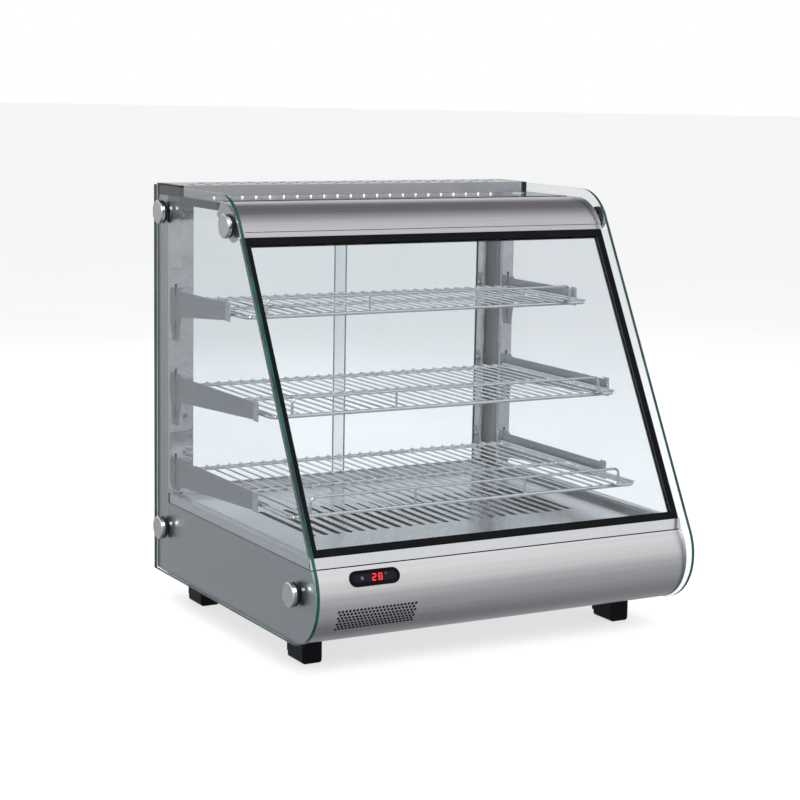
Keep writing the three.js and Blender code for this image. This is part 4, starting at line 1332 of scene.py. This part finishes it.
@dataclass
class Visor:
    """Curved visor over the front glass, with its end plates and a painted shadow line where it is
    creased near its lower edge.
    """

    finishes: Finishes
    edge: float = 0.0004
    # height of the crease, then the width and placing of its painted shadow strip
    fold_z: float = 0.6165
    fold_width: float = 0.0008
    fold_proud: float = 0.00012
    fold_depth: float = 0.0002
    half_width: float = 0.3180
    normal_angle: float = 151.397
    tangent: Point2 = (-0.281859, 0.162320)

    def fold(self) -> None:
        """Makes a dark strip across the visor's flat: the painted shadow of its crease."""
        a = math.radians(self.normal_angle)
        out, up = Vector((math.cos(a), math.sin(a))), Vector((math.sin(a), -math.cos(a)))
        foot = Vector(self.tangent) + up * ((self.fold_z - self.tangent[1]) / up.y)
        head = foot + up * self.fold_width
        back, proud = out * self.fold_depth, out * self.fold_proud
        corners = [foot - back, head - back, head + proud, foot + proud]
        Shape().prism([(c.x, c.y) for c in corners], -self.half_width, self.half_width,
                      Axis.X).piece("visor_fold", "root", [self.finishes.void], slot="panel_steel")

    def build(self) -> None:
        """Makes the visor."""
        f = self.finishes
        Copies(f.visor, "panel_steel", self.edge).make("visor")
        self.fold()
        Copies(f.plate, "panel_steel", self.edge).make("visor_end_left", "visor_end_right")


@dataclass
class TopBox:
    """Slotted box along the rear of the roof, with painted shade in its slots, its caps, and the
    light bar below.
    """

    finishes: Finishes
    sheet: float = 0.0015
    slot_margin: float = 0.006
    # place of the black sheet under the slots, which is painted shade
    liner_inset: Point2 = (0.006, 0.004)
    liner_depth: Point2 = (0.0020, 0.0012)
    lamps: int = 22
    lamp_pitch: float = 0.0243
    lamp_back: float = 0.0002
    lamp_rise: float = 0.0022
    lamp_radius: float = 0.0019

    def lamp(self) -> bpy.types.Mesh:
        """Makes one lamp of a few dozen faces.

        Returns:
            Its mesh, about the origin.
        """
        part = bmesh.new()
        bmesh.ops.create_uvsphere(part, u_segments=10, v_segments=6, radius=self.lamp_radius)
        mesh = bpy.data.meshes.new("lamp")
        part.to_mesh(mesh)
        part.free()
        mesh.shade_smooth()
        return mesh

    def build(self) -> None:
        """Makes the box and the light bar."""
        f = self.finishes
        low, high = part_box("rear_top_box")
        lid = high.z - self.sheet

        def slot_wall(c: Vector, n: Vector) -> int:
            """Number of the material of a face of the box: 1 on the walls of the slots, which are
            painted shade.
            """
            inside = low.y + self.slot_margin < c.y < high.y - self.slot_margin
            return 1 if abs(n.z) < 0.5 and abs(n.x) < 0.95 and c.z > lid - 1e-4 and inside else 0

        Shape().cad("rear_top_box", slot_wall, True).piece(
            "rear_top_box_skin", "root", [f.lid, f.void], ["rear_top_box"], "panel_steel",
            even=True)
        # A black sheet under the lid's slots: painted shade for the dark inside of the box.
        (dx, dy), (bottom, top) = self.liner_inset, self.liner_depth
        shade_sheet_outline = [(low.x + dx, low.y + dy), (high.x - dx, low.y + dy),
                 (high.x - dx, high.y - dy), (low.x + dx, high.y - dy)]
        Shape().prism(shade_sheet_outline, lid - bottom, lid - top).piece(
            "top_box_liner", "root", [f.void], slot="black_plastic")
        Copies(f.plastic, "black_plastic", 0.0008).make("box_end_cap_left", "box_end_cap_right")
        Copies(f.lens, "lamp_lens", 0.0004).make("light_bar")
        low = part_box("light_bar")[0]
        pitch = self.lamp_pitch
        start = (-(self.lamps - 1) / 2 * pitch, low.y + self.lamp_back, low.z + self.lamp_rise)
        lamps = Repeated(self.lamp(), f.led).row(self.lamps, start, (pitch, 0.0, 0.0))
        Shape().add_mesh(lamps).piece("light_points", "root", [f.led], slot="lamp_lens",
                                      angle=180.0)


@dataclass
class Deck:
    """Slotted deck plate with its rim."""

    finishes: Finishes

    def build(self) -> None:
        """Makes the deck."""
        Copies(self.finishes.deck, "panel_steel", 0.0, True).make("deck_cover")


@dataclass
class RearFrame:
    """Posts, bracket strips, door tracks and the two sliding doors with their pulls."""

    finishes: Finishes

    def build(self) -> None:
        """Makes the rear frame and the doors."""
        f = self.finishes
        Copies(f.post, "side_steel", 0.0005).make("rear_post_left", "rear_post_right")
        Copies(f.mirror, "polished_steel", 0.0, True).make(
            "bracket_strip_left", "bracket_strip_right")
        Copies(f.mirror, "polished_steel", 0.0004).make(
            "door_track_bottom", "door_track_top", "door_pull_left", "door_pull_right")
        for side in Side:
            node = f"rear_door_{side.word}"
            Shape().cad(node, lambda c, n: 0 if abs(n.y) > 0.95 else 1).piece(
                node + "_pane", body_of(node), [f.door, f.door_edge], [node], "door_glass")


@dataclass
class Shelf:
    """One wire shelf: rod frame, cross wires and guard rail."""

    finishes: Finishes
    level: str
    rod_z: float
    front_y: float
    rear_y: float = 0.228
    wire_end: float = 0.2329
    side_x: float = 0.3026
    corner: float = 0.012
    rod: float = 0.0029
    wire: float = 0.0015
    wire_rise: float = 0.0037
    wires: int = 31
    pitch: float = 0.020
    rail_x: float = 0.2705
    rail_rise: float = 0.027
    rail: float = 0.0021
    rail_corner: float = 0.0085
    post_x: float = 0.096
    post: float = 0.0017

    def frame_path(self) -> list[Point3]:
        """Follows the outer rod.

        Returns:
            Its loop at the rod's height.
        """
        middle = (self.front_y + self.rear_y) / 2
        flat = rounded(self.side_x * 2, self.rear_y - self.front_y, self.corner, 8)
        return [(x, y + middle, self.rod_z) for x, y in flat]

    def rail_path(self) -> list[Point3]:
        """Follows the guard rail from one foot to the other.

        Returns:
            The path.
        """
        r, top = self.rail_corner, self.rod_z + self.rail_rise
        left = arc((-self.rail_x + r, top - r), r, 180, 90, 8)
        right = arc((self.rail_x - r, top - r), r, 90, 0, 8)
        path = [(-self.rail_x, self.rod_z), *left, *right, (self.rail_x, self.rod_z)]
        return [(x, self.front_y, z) for x, z in path]

    def build(self) -> None:
        """Makes the shelf."""
        f = self.finishes
        node = f"shelf_{self.level}"
        shape = Shape().tube(self.frame_path(), self.rod, True)
        middle = (self.front_y + self.rear_y) / 2
        shape.tube([(x, middle, self.rod_z) for x in (-self.side_x, self.side_x)], self.rod)
        shape.tube(self.rail_path(), self.rail)
        for x in (-self.post_x, self.post_x):
            shape.tube([(x, self.front_y, self.rod_z + rise) for rise in (0.0, self.rail_rise)],
                       self.post)
        one = Shape().tube([(0, self.front_y - self.wire, 0), (0, self.wire_end, 0)], self.wire,
                           fineness=2)
        wire = bpy.data.meshes.new("wire")
        one.bm.to_mesh(wire)
        one.bm.free()
        start = (-(self.wires - 1) / 2 * self.pitch, 0.0, self.rod_z + self.wire_rise)
        shape.add_mesh(Repeated(wire, f.wire).row(self.wires, start, (self.pitch, 0.0, 0.0)))
        shape.piece(node + "_wires", body_of(node), [f.wire], [node], "shelf_wire", angle=40.0)


@dataclass
class Brackets:
    """The six shelf brackets, with a brighter clip at the front of each."""

    finishes: Finishes
    clip: float = 0.016

    def build(self) -> None:
        """Makes the brackets."""
        f = self.finishes
        for level in ("top", "middle", "bottom"):
            for side in Side:
                node = f"shelf_bracket_{level}_{side.word}"
                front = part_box(node)[0].y + self.clip
                Shape().cad(node, lambda c, n, front=front: 1 if c.y < front else 0).piece(
                    node + "_plate", "root", [f.bracket, f.clip], [node], "bracket_steel", 0.0003)


@dataclass
class Machinery:
    """Fan, heater and water tray in the base."""

    finishes: Finishes

    def build(self) -> None:
        """Makes the fan, heater and tray."""
        f = self.finishes
        Copies(f.plastic, "black_plastic", 0.0006).make("fan_housing", "fan_impeller")
        Copies(f.heater, "heater_steel", 0.0).make("heater_element")
        Copies(f.tray, "tray_steel", 0.0006).make("water_tray")


def main() -> None:
    """Builds the stage and the case."""
    logging.basicConfig(level=logging.INFO, format="%(name)s: %(message)s")
    Stage().build()
    finishes = Finishes()
    parts: Iterable[Any] = (
        Base(finishes), Display(finishes), Deck(finishes), Glazing(finishes), Visor(finishes),
        TopBox(finishes), RearFrame(finishes), Shelf(finishes, "top", 0.4885, -0.00996),
        Shelf(finishes, "middle", 0.3525, -0.0981), Shelf(finishes, "bottom", 0.2165, -0.1609),
        Brackets(finishes), Machinery(finishes))
    for part in parts:
        part.build()
        log.info("%s done", type(part).__name__)


if __name__ == "__main__":
    main()
